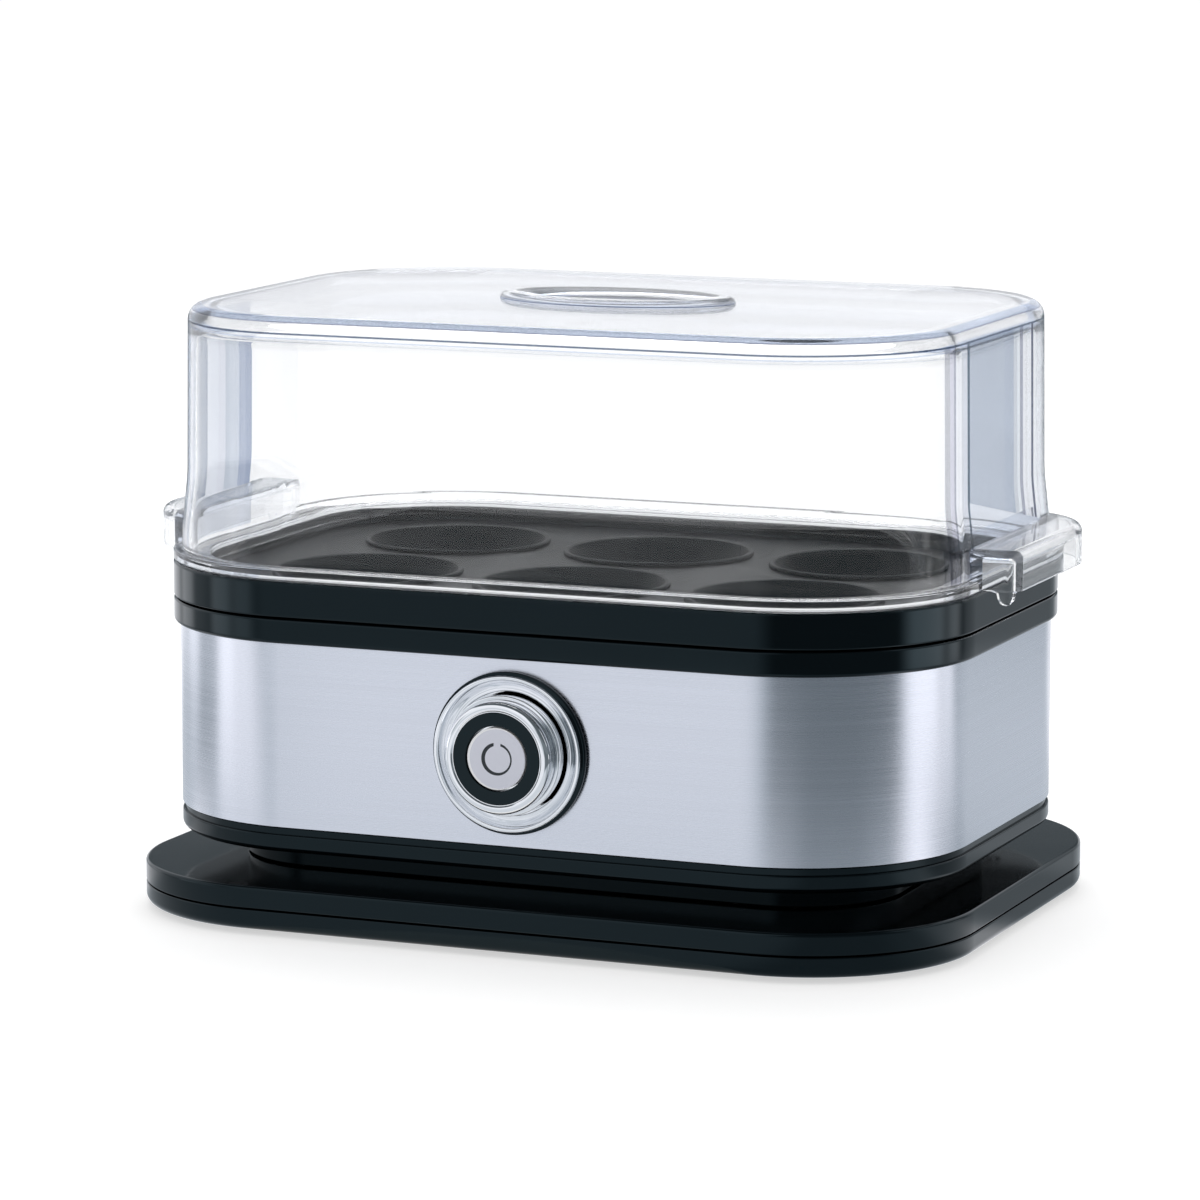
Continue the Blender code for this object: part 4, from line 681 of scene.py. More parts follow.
@dataclass(frozen=True)
class ClearPlastic(Finish):
    """Clear moulded plastic: a polished skin over a body that takes up a little warm light.

    Thick plastic bends light where it bends, showing dark and pale lines. These lines are painted into
    the colour the plastic lets through, as tinted bands set by position: painted refraction and
    reflection. Those on the end walls follow Y and reach down to the flange. Low on a part of each end
    wall an even painted tint takes their place, on the right end under a line that falls towards the
    rear. Those round the roof's edge and the pad's foot follow the height over or under the roof. Those
    at the pad's foot lie only on the front and right. The colour also grows darker and bluer as the
    surface is seen more at a slant, which is painted edge shade. A band's place is where its colour
    starts.
    """

    plan: Outline = Outline(0.09, 0.06, 0.04)
    wall_bottom: float = 0.08
    roof_level: float = 0.13
    index: float = 1.33
    roughness: float = 0.010
    depth_colour: Colour = (0.55, 0.66, 0.86)
    density: float = 12.0
    flow_scale: float = 26.0
    flow_stretch: Triple = (1, 1, 0.35)
    flow_depth: float = 0.000002
    solid_share: float = 0.92
    skin_inset: float = 0.0031
    edge_drop: float = 0.0036
    foot_lean: Triple = (0.38, -0.92, 0.0)
    foot_start: float = -0.008
    # Painted edge shade: the colour let through grows darker and bluer as the surface is seen at a
    # slant.
    painted_edge_shade: Bands = (
        (0.10, (0.998, 0.999, 1.0)),
        (0.90, (0.985, 0.99, 1.0)),
        (0.96, (0.62, 0.67, 0.77)),
        (1.00, (0.34, 0.39, 0.48)),
    )
    # Painted refraction bands on the right end wall, placed along Y.
    right_painted_bands: Bands = (
        (-0.0350, WHITE),
        (-0.0330, (0.60, 0.61, 0.65)),
        (-0.0310, (0.71, 0.71, 0.79)),
        (-0.0293, (0.46, 0.47, 0.54)),
        (-0.0284, (0.92, 0.93, 0.96)),
        (-0.0250, (0.72, 0.74, 0.80)),
        (-0.0214, (0.08, 0.13, 0.19)),
        (-0.0202, (0.495, 0.54, 0.62)),
        (0.0028, (0.47, 0.52, 0.61)),
        (0.0088, (0.68, 0.71, 0.76)),
        (0.0112, (0.80, 0.84, 0.87)),
        (0.0130, (0.40, 0.41, 0.49)),
        (0.0152, (0.88, 0.89, 0.92)),
        (0.0208, (0.12, 0.13, 0.20)),
        (0.0224, (0.92, 0.93, 0.95)),
        (0.0400, WHITE),
    )
    # Painted refraction bands on the left end wall, placed along Y.
    left_painted_bands: Bands = (
        (-0.0480, WHITE),
        (-0.0462, (0.50, 0.55, 0.63)),
        (-0.0450, (0.86, 0.88, 0.92)),
        (-0.0390, (0.12, 0.18, 0.29)),
        (-0.0286, (0.67, 0.71, 0.79)),
        (-0.0220, (0.63, 0.66, 0.75)),
        (-0.0185, (0.42, 0.48, 0.58)),
        (-0.0116, (0.20, 0.265, 0.415)),
        (-0.0052, WHITE),
    )
    panel_front: float = -0.0202
    panel_back: float = 0.0330
    panel_rise: float = 0.0063
    panel_fall: float = 0.20
    left_middle: float = -0.0221
    left_half: float = 0.0169
    corner_drop: float = 0.0092
    # The even painted tint low on the end walls.
    painted_panel_tint: Colour = (0.76, 0.79, 0.85)
    # Painted refraction lines round the roof's edge.
    roof_painted_bands: Bands = (
        (-0.0020, WHITE),
        (-0.00115, (0.35, 0.385, 0.50)),
        (-0.00095, (0.60, 0.67, 0.80)),
        (-0.00005, WHITE),
        (0.00006, (0.42, 0.47, 0.58)),
        (0.00035, WHITE),
    )
    # Painted refraction lines at the pad's foot, drawn on the front and right only.
    foot_bands: Bands = (
        (-0.0060, WHITE),
        (-0.0045, (0.70, 0.75, 0.85)),
        (-0.0042, WHITE),
        (-0.0036, (0.12, 0.16, 0.24)),
        (-0.0032, WHITE),
    )

    def build(self, graph: Graph) -> bpy.types.Material:
        """A refracting skin with slow flow marks, and absorption by the way travelled inside.

        Args:
            graph: the material's empty tree.

        Returns:
            The material.
        """
        flow = graph.noise(graph.scaled(self.flow_stretch), self.flow_scale, 1)
        slant = graph.add("ShaderNodeLayerWeight").outputs["Facing"]
        # Painted refraction bands, laid into the colour by position.
        painted_bands = self.painted_bands(graph)
        graph.principled(
            # The base colour holds the painted edge shade and, squared for two surfaces, the painted
            # refraction bands.
            base_color=graph.product(graph.ramp(slant, self.painted_edge_shade), graph.product(painted_bands, painted_bands)),
            roughness=self.roughness,
            ior=self.index,
            transmission_weight=1.0,
            alpha=self.solid_share,
            normal=graph.bump(flow, self.flow_depth),
        )
        depth = graph.add("ShaderNodeVolumeAbsorption")
        depth.inputs["Color"].default_value = (*self.depth_colour, 1)
        depth.inputs["Density"].default_value = self.density
        graph.join(depth.outputs["Volume"], graph.output.inputs["Volume"])
        return graph.material

    def painted_bands(self, graph: Graph) -> Socket:
        """The colours of all painted refraction bands together: painted light, set by position.

        Args:
            graph: the material's tree.

        Returns:
            What one surface lets through with the painted bands, which is the root of the base colour.
        """
        split = graph.add("ShaderNodeSeparateXYZ")
        graph.join(graph.place, split.inputs["Vector"])
        across, along, up = (split.outputs[axis] for axis in "XYZ")
        skin = self.skin(graph, across, along)
        painted_panels = self.painted_panel_right(graph, across, along, up), self.painted_panel_left(graph, across, along, up)
        right = graph.math("GREATER_THAN", across, 0.0)
        ends = graph.steps(along, self.left_painted_bands), graph.steps(along, self.right_painted_bands)
        upper_painted_ends = graph.mixed(right, *ends)
        painted_end_walls = graph.mixed(graph.math("ADD", *painted_panels), upper_painted_ends, self.painted_panel_tint)
        above = graph.math("GREATER_THAN", up, self.wall_bottom - self.corner_drop)
        below = graph.math("LESS_THAN", up, self.roof_level - self.edge_drop)
        painted_walls = graph.mixed(graph.all_of(skin, above, below), WHITE, painted_end_walls)
        height = graph.math("SUBTRACT", up, self.roof_level)
        foot = graph.steps(height, self.foot_bands)
        painted_foot = graph.mixed(graph.all_of(skin, self.front_side(graph)), WHITE, foot)
        painted_roof = graph.steps(height, self.roof_painted_bands)
        return graph.product(painted_walls, graph.product(painted_foot, painted_roof))

    def skin(self, graph: Graph, across: Socket, along: Socket) -> Socket:
        """The outer skin of the walls.

        A point's way out from the corner's centre is (max(|x| - cx, 0), max(|y| - cy, 0)), so its
        length is the corner's radius on the body's side, and less further in.

        Args:
            graph: the material's tree.
            across, along: the point's x and y.

        Returns:
            1 in the skin, otherwise 0.
        """
        squares = []
        for part, centre in zip((across, along), self.plan.corner_centre()):
            out = graph.math("SUBTRACT", graph.math("ABSOLUTE", part), centre)
            out = graph.math("MAXIMUM", out, 0.0)
            squares.append(graph.math("MULTIPLY", out, out))
        reach = graph.math("SQRT", graph.math("ADD", *squares))
        inner_side = graph.math("GREATER_THAN", reach, self.plan.corner - self.skin_inset)
        outer_side = graph.math("LESS_THAN", reach, self.plan.corner)
        return graph.all_of(inner_side, outer_side)

    def painted_panel_right(self, graph: Graph, across: Socket, along: Socket, up: Socket) -> Socket:
        """The low part of the right end between the panel's edges, where the even painted tint lies,
        under a line whose height is wall bottom + rise - fall * (y - panel front).

        Args:
            graph: the material's tree.
            across, along, up: the point's x, y and z.

        Returns:
            1 in that part, otherwise 0.
        """
        fall = graph.math("MULTIPLY", graph.math("SUBTRACT", along, self.panel_front), self.panel_fall)
        level = graph.math("SUBTRACT", graph.math("ADD", up, fall), self.panel_rise)
        return graph.all_of(
            graph.math("GREATER_THAN", across, 0.0),
            graph.math("GREATER_THAN", along, self.panel_front),
            graph.math("LESS_THAN", along, self.panel_back),
            graph.math("LESS_THAN", level, self.wall_bottom),
        )

    def painted_panel_left(self, graph: Graph, across: Socket, along: Socket, up: Socket) -> Socket:
        """The low part of the left end, within half a panel's length of the panel's middle, where the
        even painted tint lies.

        Args:
            graph: the material's tree.
            across, along, up: the point's x, y and z.

        Returns:
            1 in that part, otherwise 0.
        """
        away = graph.math("ABSOLUTE", graph.math("SUBTRACT", along, self.left_middle))
        return graph.all_of(
            graph.math("LESS_THAN", across, 0.0),
            graph.math("LESS_THAN", away, self.left_half),
            graph.math("LESS_THAN", up, self.wall_bottom),
        )

    def front_side(self, graph: Graph) -> Socket:
        """The lid's front and right, where the painted lines at the pad's foot are drawn: where the
        point lies far enough along the lean's direction.

        Args:
            graph: the material's tree.

        Returns:
            1 there, otherwise 0.
        """
        lean = graph.add("ShaderNodeVectorMath", operation="DOT_PRODUCT")
        graph.join(graph.place, lean.inputs[0])
        lean.inputs[1].default_value = self.foot_lean
        return graph.math("GREATER_THAN", lean.outputs["Value"], self.foot_start)


@dataclass(frozen=True)
class BrushedSteel(Finish):
    """Sheet steel brushed along its length: long level scratches that spread light up and down."""

    colour: Colour = (0.765, 0.78, 0.845)
    roughness: float = 0.27
    roughness_swing: float = 0.03
    scratch_rows: float = 5200.0
    scratch_run: float = 18.0
    scratch_depth: float = 0.0000015
    broad_rows: float = 700.0
    broad_run: float = 9.0
    fine_share: float = 0.65
    darkest: float = 0.955
    brightest: float = 1.03
    spread_up: float = 0.72
    spread_turn: float = 0.25

    def build(self, graph: Graph) -> bpy.types.Material:
        """Scratches are noise squeezed in height and drawn out along the sheet.

        Args:
            graph: the material's empty tree.

        Returns:
            The material.
        """
        fine = graph.noise(graph.scaled((self.scratch_run, self.scratch_run, self.scratch_rows)), 1.0, 4)
        broad = graph.noise(graph.scaled((self.broad_run, self.broad_run, self.broad_rows)), 1.0, 3)
        both = graph.math(
            "ADD",
            graph.math("MULTIPLY", fine, self.fine_share),
            graph.math("MULTIPLY", broad, 1 - self.fine_share),
        )
        low, high = self.roughness - self.roughness_swing, self.roughness + self.roughness_swing
        tangent = graph.add("ShaderNodeTangent", direction_type="RADIAL", axis="Z")
        shader = graph.principled(
            base_color=graph.tinted(self.colour, graph.spread(both, self.darkest, self.brightest)),
            metallic=1.0,
            roughness=graph.spread(both, low, high),
            anisotropic=self.spread_up,
            anisotropic_rotation=self.spread_turn,
            normal=graph.bump(fine, self.scratch_depth),
        )
        graph.join(tangent.outputs["Tangent"], shader.inputs["Tangent"])
        return graph.material


@dataclass(frozen=True)
class PolishedMetal(Finish):
    """Plated or drawn metal: bright, with faint smears in its gloss."""

    colour: Colour = (0.9, 0.9, 0.9)
    roughness: float = 0.05
    roughness_swing: float = 0.02
    smear: float = 120.0
    darkest: float = 0.97
    brightest: float = 1.02

    def build(self, graph: Graph) -> bpy.types.Material:
        """The gloss follows a noise of smears, and the colour a little with it.

        Args:
            graph: the material's empty tree.

        Returns:
            The material.
        """
        smear = graph.noise(graph.place, self.smear, 3)
        low, high = self.roughness - self.roughness_swing, self.roughness + self.roughness_swing
        graph.principled(
            base_color=graph.tinted(self.colour, graph.spread(smear, self.darkest, self.brightest)),
            metallic=1.0,
            roughness=graph.spread(smear, low, high),
        )
        return graph.material


@dataclass(frozen=True)
class PrintedCap(Finish):
    """Satin silver with a generic printed power mark: a fine ring that is open at its top and wider on
    its left, where shade is painted into it.
    """

    colour: Colour = (0.74, 0.75, 0.83)
    rim_colour: Colour = (0.97, 0.97, 0.98)
    rim_radius: float = 0.0062
    ink: Colour = (0.02, 0.025, 0.03)
    roughness: float = 0.32
    roughness_swing: float = 0.03
    metallic: float = 0.25
    grain: float = 2500.0
    grain_depth: float = 0.000004
    centre: Triple = (0, 0, 0)
    ring_radius: float = 0.0031
    line: float = 0.0003
    painted_shade_swell: float = 0.00012
    gap_half: float = 0.00075

    def build(self, graph: Graph) -> bpy.types.Material:
        """Ink lies where the distance from the ring's line is under its half width, and where the
        point isn't inside the gap above the middle. The half width swells towards the left, which
        is painted shade along the mark's left side.

        Args:
            graph: the material's empty tree.

        Returns:
            The material.
        """
        shift = graph.add("ShaderNodeVectorMath", operation="SUBTRACT")
        graph.join(graph.place, shift.inputs[0])
        shift.inputs[1].default_value = self.centre
        split = graph.add("ShaderNodeSeparateXYZ")
        graph.join(shift.outputs["Vector"], split.inputs["Vector"])
        across, up = split.outputs["X"], split.outputs["Z"]
        squares = [graph.math("MULTIPLY", part, part) for part in (across, up)]
        radius = graph.math("SQRT", graph.math("ADD", *squares))
        off_line = graph.math("ABSOLUTE", graph.math("SUBTRACT", radius, self.ring_radius))
        # The line widens towards the left: painted shade.
        lean = graph.math("MULTIPLY", across, self.painted_shade_swell / self.ring_radius)
        width = graph.math("SUBTRACT", self.line, lean)
        on_line = graph.math("LESS_THAN", off_line, width)
        beside = graph.math("GREATER_THAN", graph.math("ABSOLUTE", across), self.gap_half)
        below = graph.math("LESS_THAN", up, 0.0)
        open_top = graph.math("MAXIMUM", beside, below)
        ink = graph.all_of(on_line, open_top)
        rim = graph.math("GREATER_THAN", radius, self.rim_radius)
        face = graph.mixed(ink, graph.mixed(rim, self.colour, self.rim_colour), self.ink)
        grain = graph.noise(graph.place, self.grain, 2)
        low, high = self.roughness - self.roughness_swing, self.roughness + self.roughness_swing
        graph.principled(
            base_color=face,
            metallic=self.metallic,
            roughness=graph.spread(grain, low, high),
            normal=graph.bump(grain, self.grain_depth),
        )
        return graph.material


@dataclass(frozen=True)
class Braided(Finish):
    """A woven glass sleeve: two families of strands that cross over and under."""

    colour: Colour = (0.80, 0.78, 0.70)
    painted_valley_shade: Colour = (0.56, 0.546, 0.49)
    roughness: float = 0.7
    strand_phase: float = 2200.0
    weave_depth: float = 0.00008

    def build(self, graph: Graph) -> bpy.types.Material:
        """Two sets of waves at right angles are multiplied into the weave's height. A wave's phase
        is the strand phase times the way along its direction. The colour darkens in the weave's
        valleys, which is painted shade.

        Args:
            graph: the material's empty tree.

        Returns:
            The material.
        """
        vector = graph.scaled((1, 1, 1), (0, 0, math.pi / 4))
        waves = []
        for direction in ("X", "Y"):
            node = graph.add("ShaderNodeTexWave", bands_direction=direction)
            node.inputs["Scale"].default_value = self.strand_phase / WAVE_FACTOR
            graph.join(vector, node.inputs["Vector"])
            waves.append(node.outputs["Fac"])
        weave = graph.math("MULTIPLY", *waves)
        graph.principled(
            # Darker colour in the weave's valleys: painted shade.
            base_color=graph.mixed(weave, self.painted_valley_shade, self.colour),
            roughness=self.roughness,
            normal=graph.bump(weave, self.weave_depth),
        )
        return graph.material


def finishes(sizes: "Sizes") -> dict[str, Finish]:
    """Every finish of the cooker.

    Args:
        sizes: the levels and outlines that the clear plastic's bands follow.

    Returns:
        The finishes, by the record's slot.
    """
    made = [
        MouldedPlastic(
            slot="black_gloss_plastic",
            colour=(0.0012, 0.0020, 0.0026),
            roughness=0.10,
            roughness_swing=0.02,
            grain=60.0,
            index=1.37,
            gloss_tint=TEAL,
        ),
        MouldedPlastic(
            slot="black_satin_plastic",
            colour=(0.0040, 0.0041, 0.0044),
            roughness=0.46,
            roughness_swing=0.02,
            grain=400.0,
            grain_depth=0.000001,
            index=1.22,
            gloss_tint=TEAL,
        ),
        ClearPlastic(
            slot="clear_plastic",
            plan=sizes.body,
            wall_bottom=sizes.wall_bottom,
            roof_level=sizes.lid_top,
        ),
        BrushedSteel(slot="brushed_steel"),
        PolishedMetal(
            slot="chrome",
            colour=(0.88, 0.89, 0.91),
            roughness=0.045,
            roughness_swing=0.015,
            smear=160.0,
        ),
        PrintedCap(
            slot="satin_silver",
            centre=tuple(middle_of("button_cap") + Vector((MARK_SHIFT, 0, 0))),
        ),
        PolishedMetal(
            slot="dish_steel",
            colour=(0.66, 0.66, 0.67),
            roughness=0.24,
            roughness_swing=0.05,
            smear=240.0,
        ),
        PolishedMetal(
            slot="cast_aluminium",
            colour=(0.56, 0.57, 0.58),
            roughness=0.48,
            roughness_swing=0.08,
            smear=600.0,
        ),
        PolishedMetal(
            slot="zinc_plated_steel",
            colour=(0.55, 0.56, 0.58),
            roughness=0.36,
            roughness_swing=0.08,
            smear=320.0,
        ),
        MouldedPlastic(
            slot="black_rubber",
            colour=(0.020, 0.020, 0.021),
            roughness=0.74,
            roughness_swing=0.06,
            grain=1400.0,
            grain_depth=0.00003,
        ),
        MouldedPlastic(
            slot="grey_silicone",
            colour=(0.42, 0.43, 0.44),
            roughness=0.58,
            roughness_swing=0.05,
            index=1.42,
        ),
        MouldedPlastic(
            slot="white_nylon",
            colour=(0.74, 0.73, 0.69),
            roughness=0.48,
            roughness_swing=0.05,
            grain=800.0,
            index=1.50,
        ),
        Braided(slot="glass_sleeve"),
        MouldedPlastic(
            slot="wire_insulation",
            colour=(0.30, 0.05, 0.04),
            roughness=0.46,
            roughness_swing=0.05,
            grain=700.0,
            index=1.48,
        ),
    ]
    return {finish.slot: finish for finish in made}


@dataclass
class Assembly:
    """A sub-assembly: it builds its pieces, dresses them and puts them on their bodies."""

    palette: dict[str, Finish]

    def dress(self, item: bpy.types.Object, slot: str, body: Body, *nodes: str) -> bpy.types.Object:
        """Shades a piece, gives it its finish and lets it stand for its nodes.

        Args:
            item: the piece.
            slot: the record's slot that it takes its finish from.
            body: the body that it rides on.
            nodes: the CAD nodes that it replaces.

        Returns:
            The piece.
        """
        shade(item)
        item.data.materials.clear()
        item.data.materials.append(self.palette[slot].material())
        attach(item, body.value)
        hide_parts(*nodes)
        LOG.info("%s: %d faces on %s", item.name, len(item.data.polygons), body.value)
        return item

    def paint(self, item: bpy.types.Object, slot: str, chosen: NDArray[np.bool_]) -> None:
        """Gives the chosen faces of a piece a second finish."""
        item.data.materials.append(self.palette[slot].material())
        item.data.polygons.foreach_set("material_index", chosen.astype(np.int32))


def face_middles(item: bpy.types.Object) -> Points:
    """The middle of each face of a piece.

    Args:
        item: the piece.

    Returns:
        One row for each face.
    """
    middles = np.empty(len(item.data.polygons) * 3)
    item.data.polygons.foreach_get("center", middles)
    return middles.reshape(-1, 3)


@dataclass
class Sizes:
    """The levels and outlines that the pieces share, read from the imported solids."""

    body: Outline = field(init=False)
    stand: Outline = field(init=False)
    neck: Outline = field(init=False)
    bezel_bottom: float = field(init=False)
    bezel_top: float = field(init=False)
    rim_bottom: float = field(init=False)
    rim_top: float = field(init=False)
    lid_bottom: float = field(init=False)
    lid_top: float = field(init=False)
    wall_bottom: float = field(init=False)
    body_corner: float = 0.0373
    stand_corner: float = 0.0366
    band_overhang: float = 0.0014
    steel_tuck: float = 0.0020
    pad_rise: float = 0.0015
    lid_step: float = 0.0117

    def __post_init__(self) -> None:
        """Reads the outlines' half lengths and the levels."""
        wrap, deck, ring = (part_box(name)[1] for name in ("steel_wrap", "stand_deck", "neck_ring"))
        self.body = Outline(wrap.x, wrap.y, self.body_corner)
        self.stand = Outline(deck.x, deck.y, self.stand_corner)
        self.neck = Outline(ring.x, ring.y, self.body_corner - (wrap.x - ring.x))
        self.bezel_bottom = wrap.z - self.steel_tuck
        self.bezel_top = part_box("heater_bezel")[1].z
        self.rim_bottom = self.bezel_top + SEAT_GAP
        self.rim_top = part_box("egg_tray")[1].z
        self.lid_bottom = self.rim_top + SEAT_GAP
        self.lid_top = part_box("clear_lid")[1].z - self.pad_rise
        self.wall_bottom = self.lid_bottom + self.lid_step


@dataclass
class Stand(Assembly):
    """The flat two-layer stand with its neck, feet and foot pockets."""

    sizes: Sizes
    bottom_round: float = 0.0018
    seam_round: float = 0.0003
    top_round: float = 0.0008
    foot_round: float = 0.0008
    screw_inset: float = 0.0055
    recess_radius: float = 0.0031
    recess_depth: float = 0.0020
    neck_wall: float = 0.0030

    def build(self) -> None:
        """Builds pan, deck, neck and feet."""
        self.pan()
        self.deck()
        self.neck_ring()
        self.feet()

    def layer(self, node: str, bottom_round: float, top_round: float) -> bpy.types.Object:
        """A closed slab between a node's levels with rounded rims.

        Args:
            node: the CAD node.
            bottom_round, top_round: the fillets of its lower and upper rim.

        Returns:
            The slab.
        """
        low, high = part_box(node)
        profile = filleted(
            [
                (-self.sizes.stand.corner / 2, low.z, 0),
                (0, low.z, bottom_round),
                (0, high.z, top_round),
                (-self.sizes.stand.corner / 2, high.z, 0),
            ],
            closed=False,
        )
        return to_object(swept(self.sizes.stand, profile, closed=False), node + "_form")

    def pan(self) -> None:
        """The lower layer with pockets for the feet and recesses for the screws."""
        low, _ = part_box("stand_pan")
        item = self.layer("stand_pan", self.bottom_round, self.seam_round)
        for side_x, side_y in QUARTERS:
            foot = f"foot_{corner_name(side_x, side_y)}"
            foot_low, foot_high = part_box(foot)
            radius = (foot_high.x - foot_low.x) / 2 + SEAT_GAP
            spot = tuple(middle_of(foot).xy)
            combine(item, Join.CUT, cylinder(spot, radius, low.z - OVERRUN, foot_high.z + SEAT_GAP))
            spot = self.sizes.neck.spot(side_x, side_y, self.screw_inset)
            top = low.z + self.recess_depth
            combine(item, Join.CUT, cylinder(spot, self.recess_radius, low.z - OVERRUN, top))
        self.dress(item, "black_gloss_plastic", Body.BASE, "stand_pan")

    def deck(self) -> None:
        """The upper layer."""
        item = self.layer("stand_deck", self.seam_round, self.top_round)
        self.dress(item, "black_gloss_plastic", Body.BASE, "stand_deck")

    def neck_ring(self) -> None:
        """The recessed neck between the stand and the lower trim."""
        low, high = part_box("neck_ring")
        corners = [(-self.neck_wall, low.z), (0, low.z), (0, high.z), (-self.neck_wall, high.z)]
        profile = filleted([(*corner, self.seam_round) for corner in corners])
        item = to_object(swept(self.sizes.neck, profile), "neck_ring_form")
        self.dress(item, "black_gloss_plastic", Body.BASE, "neck_ring")

    def feet(self) -> None:
        """Four rubber discs with a rounded tread."""
        for side_x, side_y in QUARTERS:
            node = f"foot_{corner_name(side_x, side_y)}"
            low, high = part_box(node)
            middle, radius = middle_of(node), (high.x - low.x) / 2
            corners = [(radius / 8, low.z, 0), (radius, low.z, self.foot_round), (radius, high.z, 0)]
            surface = turned(filleted(corners, closed=False)).moved((middle.x, middle.y, 0))
            self.dress(to_object(surface, node + "_form"), "black_rubber", Body.BASE, node)


def corner_name(side_x: int, side_y: int) -> str:
    """The name of a corner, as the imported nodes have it."""
    return ("front" if side_y < 0 else "rear") + "_" + ("left" if side_x < 0 else "right")


@dataclass
class Housing(Assembly):
    """The lower trim, the brushed steel wrap, the heater bezel, the dish and the cord gland."""

    sizes: Sizes
    trim_height: float = 0.0038
    trim_round: float = 0.0014
    reveal: float = 0.0006
    edge: float = 0.0003
    sheet: float = 0.0008
    spigot: float = 0.0018
    floor: float = 0.0020
    screw_inset: float = 0.0103
    recess_radius: float = 0.0031
    bezel_round: float = 0.0009
    band_edge: float = 0.0005
    ledge: float = 0.0020
    ledge_drop: float = 0.0045
    flange_inset: float = 0.0085
    dish_inset: float = 0.0160
    dish_draft: float = 0.0020
    dish_round: float = 0.0030
    dish_bend: float = 0.0016
    well_inset: float = 0.0330
    well_depth: float = 0.0010
    gland_radius: float = 0.0052
    gland_bore: float = 0.0034
    gland_flange: float = 0.0016
    hole_gap: float = 0.0015
    well_middle: float = 0.97

    def build(self) -> None:
        """Builds trim, steel, bezel, dish and gland."""
        self.trim()
        self.steel()
        self.bezel()
        self.dish()
        self.gland()

    def trim(self) -> None:
        """Lower black trim with its reveal, the spigot behind the steel and the screw recesses."""
        low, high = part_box("body_pan")
        steel_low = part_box("steel_wrap")[0].z
        top = low.z + self.trim_height
        inner = -self.sheet - SEAT_GAP
        profile = filleted(
            [
                (-self.sizes.body.corner / 2, low.z, 0),
                (0, low.z, self.trim_round),
                (0, top, self.edge),
                (-self.reveal, top, 0),
                (-self.reveal, steel_low - SEAT_GAP, 0),
                (inner, steel_low - SEAT_GAP, 0),
                (inner, high.z, 0),
                (inner - self.spigot, high.z, 0),
                (inner - self.spigot, low.z + self.floor, 0),
                (-self.sizes.body.corner / 2, low.z + self.floor, 0),
            ],
            closed=False,
        )
        item = to_object(swept(self.sizes.body, profile, closed=False), "body_pan_form")
        bottom, through = low.z - OVERRUN, low.z + self.floor + OVERRUN
        for side_x, side_y in QUARTERS:
            spot = self.sizes.body.spot(side_x, side_y, self.screw_inset)
            combine(item, Join.CUT, cylinder(spot, self.recess_radius, bottom, through))
        self.dress(item, "black_gloss_plastic", Body.BASE, "body_pan")

    def steel(self) -> None:
        """The brushed sheet, cut for the button's sleeve and the gland."""
        low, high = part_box("steel_wrap")
        corners = [(0, low.z), (0, high.z), (-self.sheet, high.z), (-self.sheet, low.z)]
        profile = filleted([(*corner, self.sheet / 5) for corner in corners])
        item = to_object(swept(self.sizes.body, profile), "steel_wrap_form")
        barrel_low, barrel_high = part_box("button_barrel")
        button_hole = (barrel_high.x - barrel_low.x) / 2 + self.hole_gap
        gland_hole = self.gland_radius + SEAT_GAP
        for node, radius, side in (("button_cap", button_hole, -1), ("cord_gland", gland_hole, 1)):
            centre = middle_of(node)
            centre.y = side * self.sizes.body.half_y
            hole = turned(np.array([(radius, -OVERRUN), (radius, OVERRUN)]))
            combine(item, Join.CUT, facing_front(hole, centre))
        self.dress(item, "brushed_steel", Body.BASE, "steel_wrap")

    def bezel(self) -> None:
        """Lower black band with the ledge that carries the dish."""
        sizes = self.sizes
        bottom, top = sizes.bezel_bottom, sizes.bezel_top
        steel_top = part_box("steel_wrap")[1].z
        ledge_top = top - self.ledge_drop
        step = SEAT_GAP - self.flange_inset
        opening = SEAT_GAP - self.dish_inset
        inner = -self.sheet - SEAT_GAP
        profile = filleted(
            [
                (sizes.band_overhang, bottom, self.bezel_round),
                (SEAT_GAP, bottom, 0),
                (SEAT_GAP, steel_top + SEAT_GAP, 0),
                (inner, steel_top + SEAT_GAP, 0),
                (inner, ledge_top - self.ledge, 0),
                (opening, ledge_top - self.ledge, self.edge),
                (opening, ledge_top, self.edge),
                (step, ledge_top, 0),
                (step, top, self.band_edge),
                (sizes.band_overhang, top, self.band_edge),
            ]
        )
        item = to_object(swept(sizes.body, profile), "heater_bezel_form")
        self.dress(item, "black_gloss_plastic", Body.BASE, "heater_bezel")

    def dish(self) -> None:
        """The drawn steel dish with its flange, drafted side and shallow well."""
        low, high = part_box("heating_dish")
        sheet, top = self.sheet, high.z
        well = low.z + sheet
        floor = well + self.well_depth
        foot = self.dish_inset + self.dish_draft
        middle = -self.sizes.body.corner * self.well_middle
        profile = filleted(
            [
                (middle, well, 0),
                (-self.well_inset - sheet, well, self.dish_bend / 2),
                (-self.well_inset, floor, self.dish_bend / 2),
                (-foot - sheet, floor, self.dish_round),
                (-self.dish_inset - sheet, top, self.dish_bend),
                (-self.flange_inset, top, 0),
                (-self.flange_inset, top - sheet, 0),
                (-self.dish_inset, top - sheet, self.dish_bend / 2),
                (-foot, floor - sheet, self.dish_round),
                (-self.well_inset + sheet, floor - sheet, self.dish_bend / 2),
                (-self.well_inset, low.z, self.dish_bend / 2),
                (middle, low.z, 0),
            ],
            closed=False,
        )
        item = to_object(swept(self.sizes.body, profile, closed=False), "heating_dish_form")
        self.dress(item, "dish_steel", Body.BASE, "heating_dish")

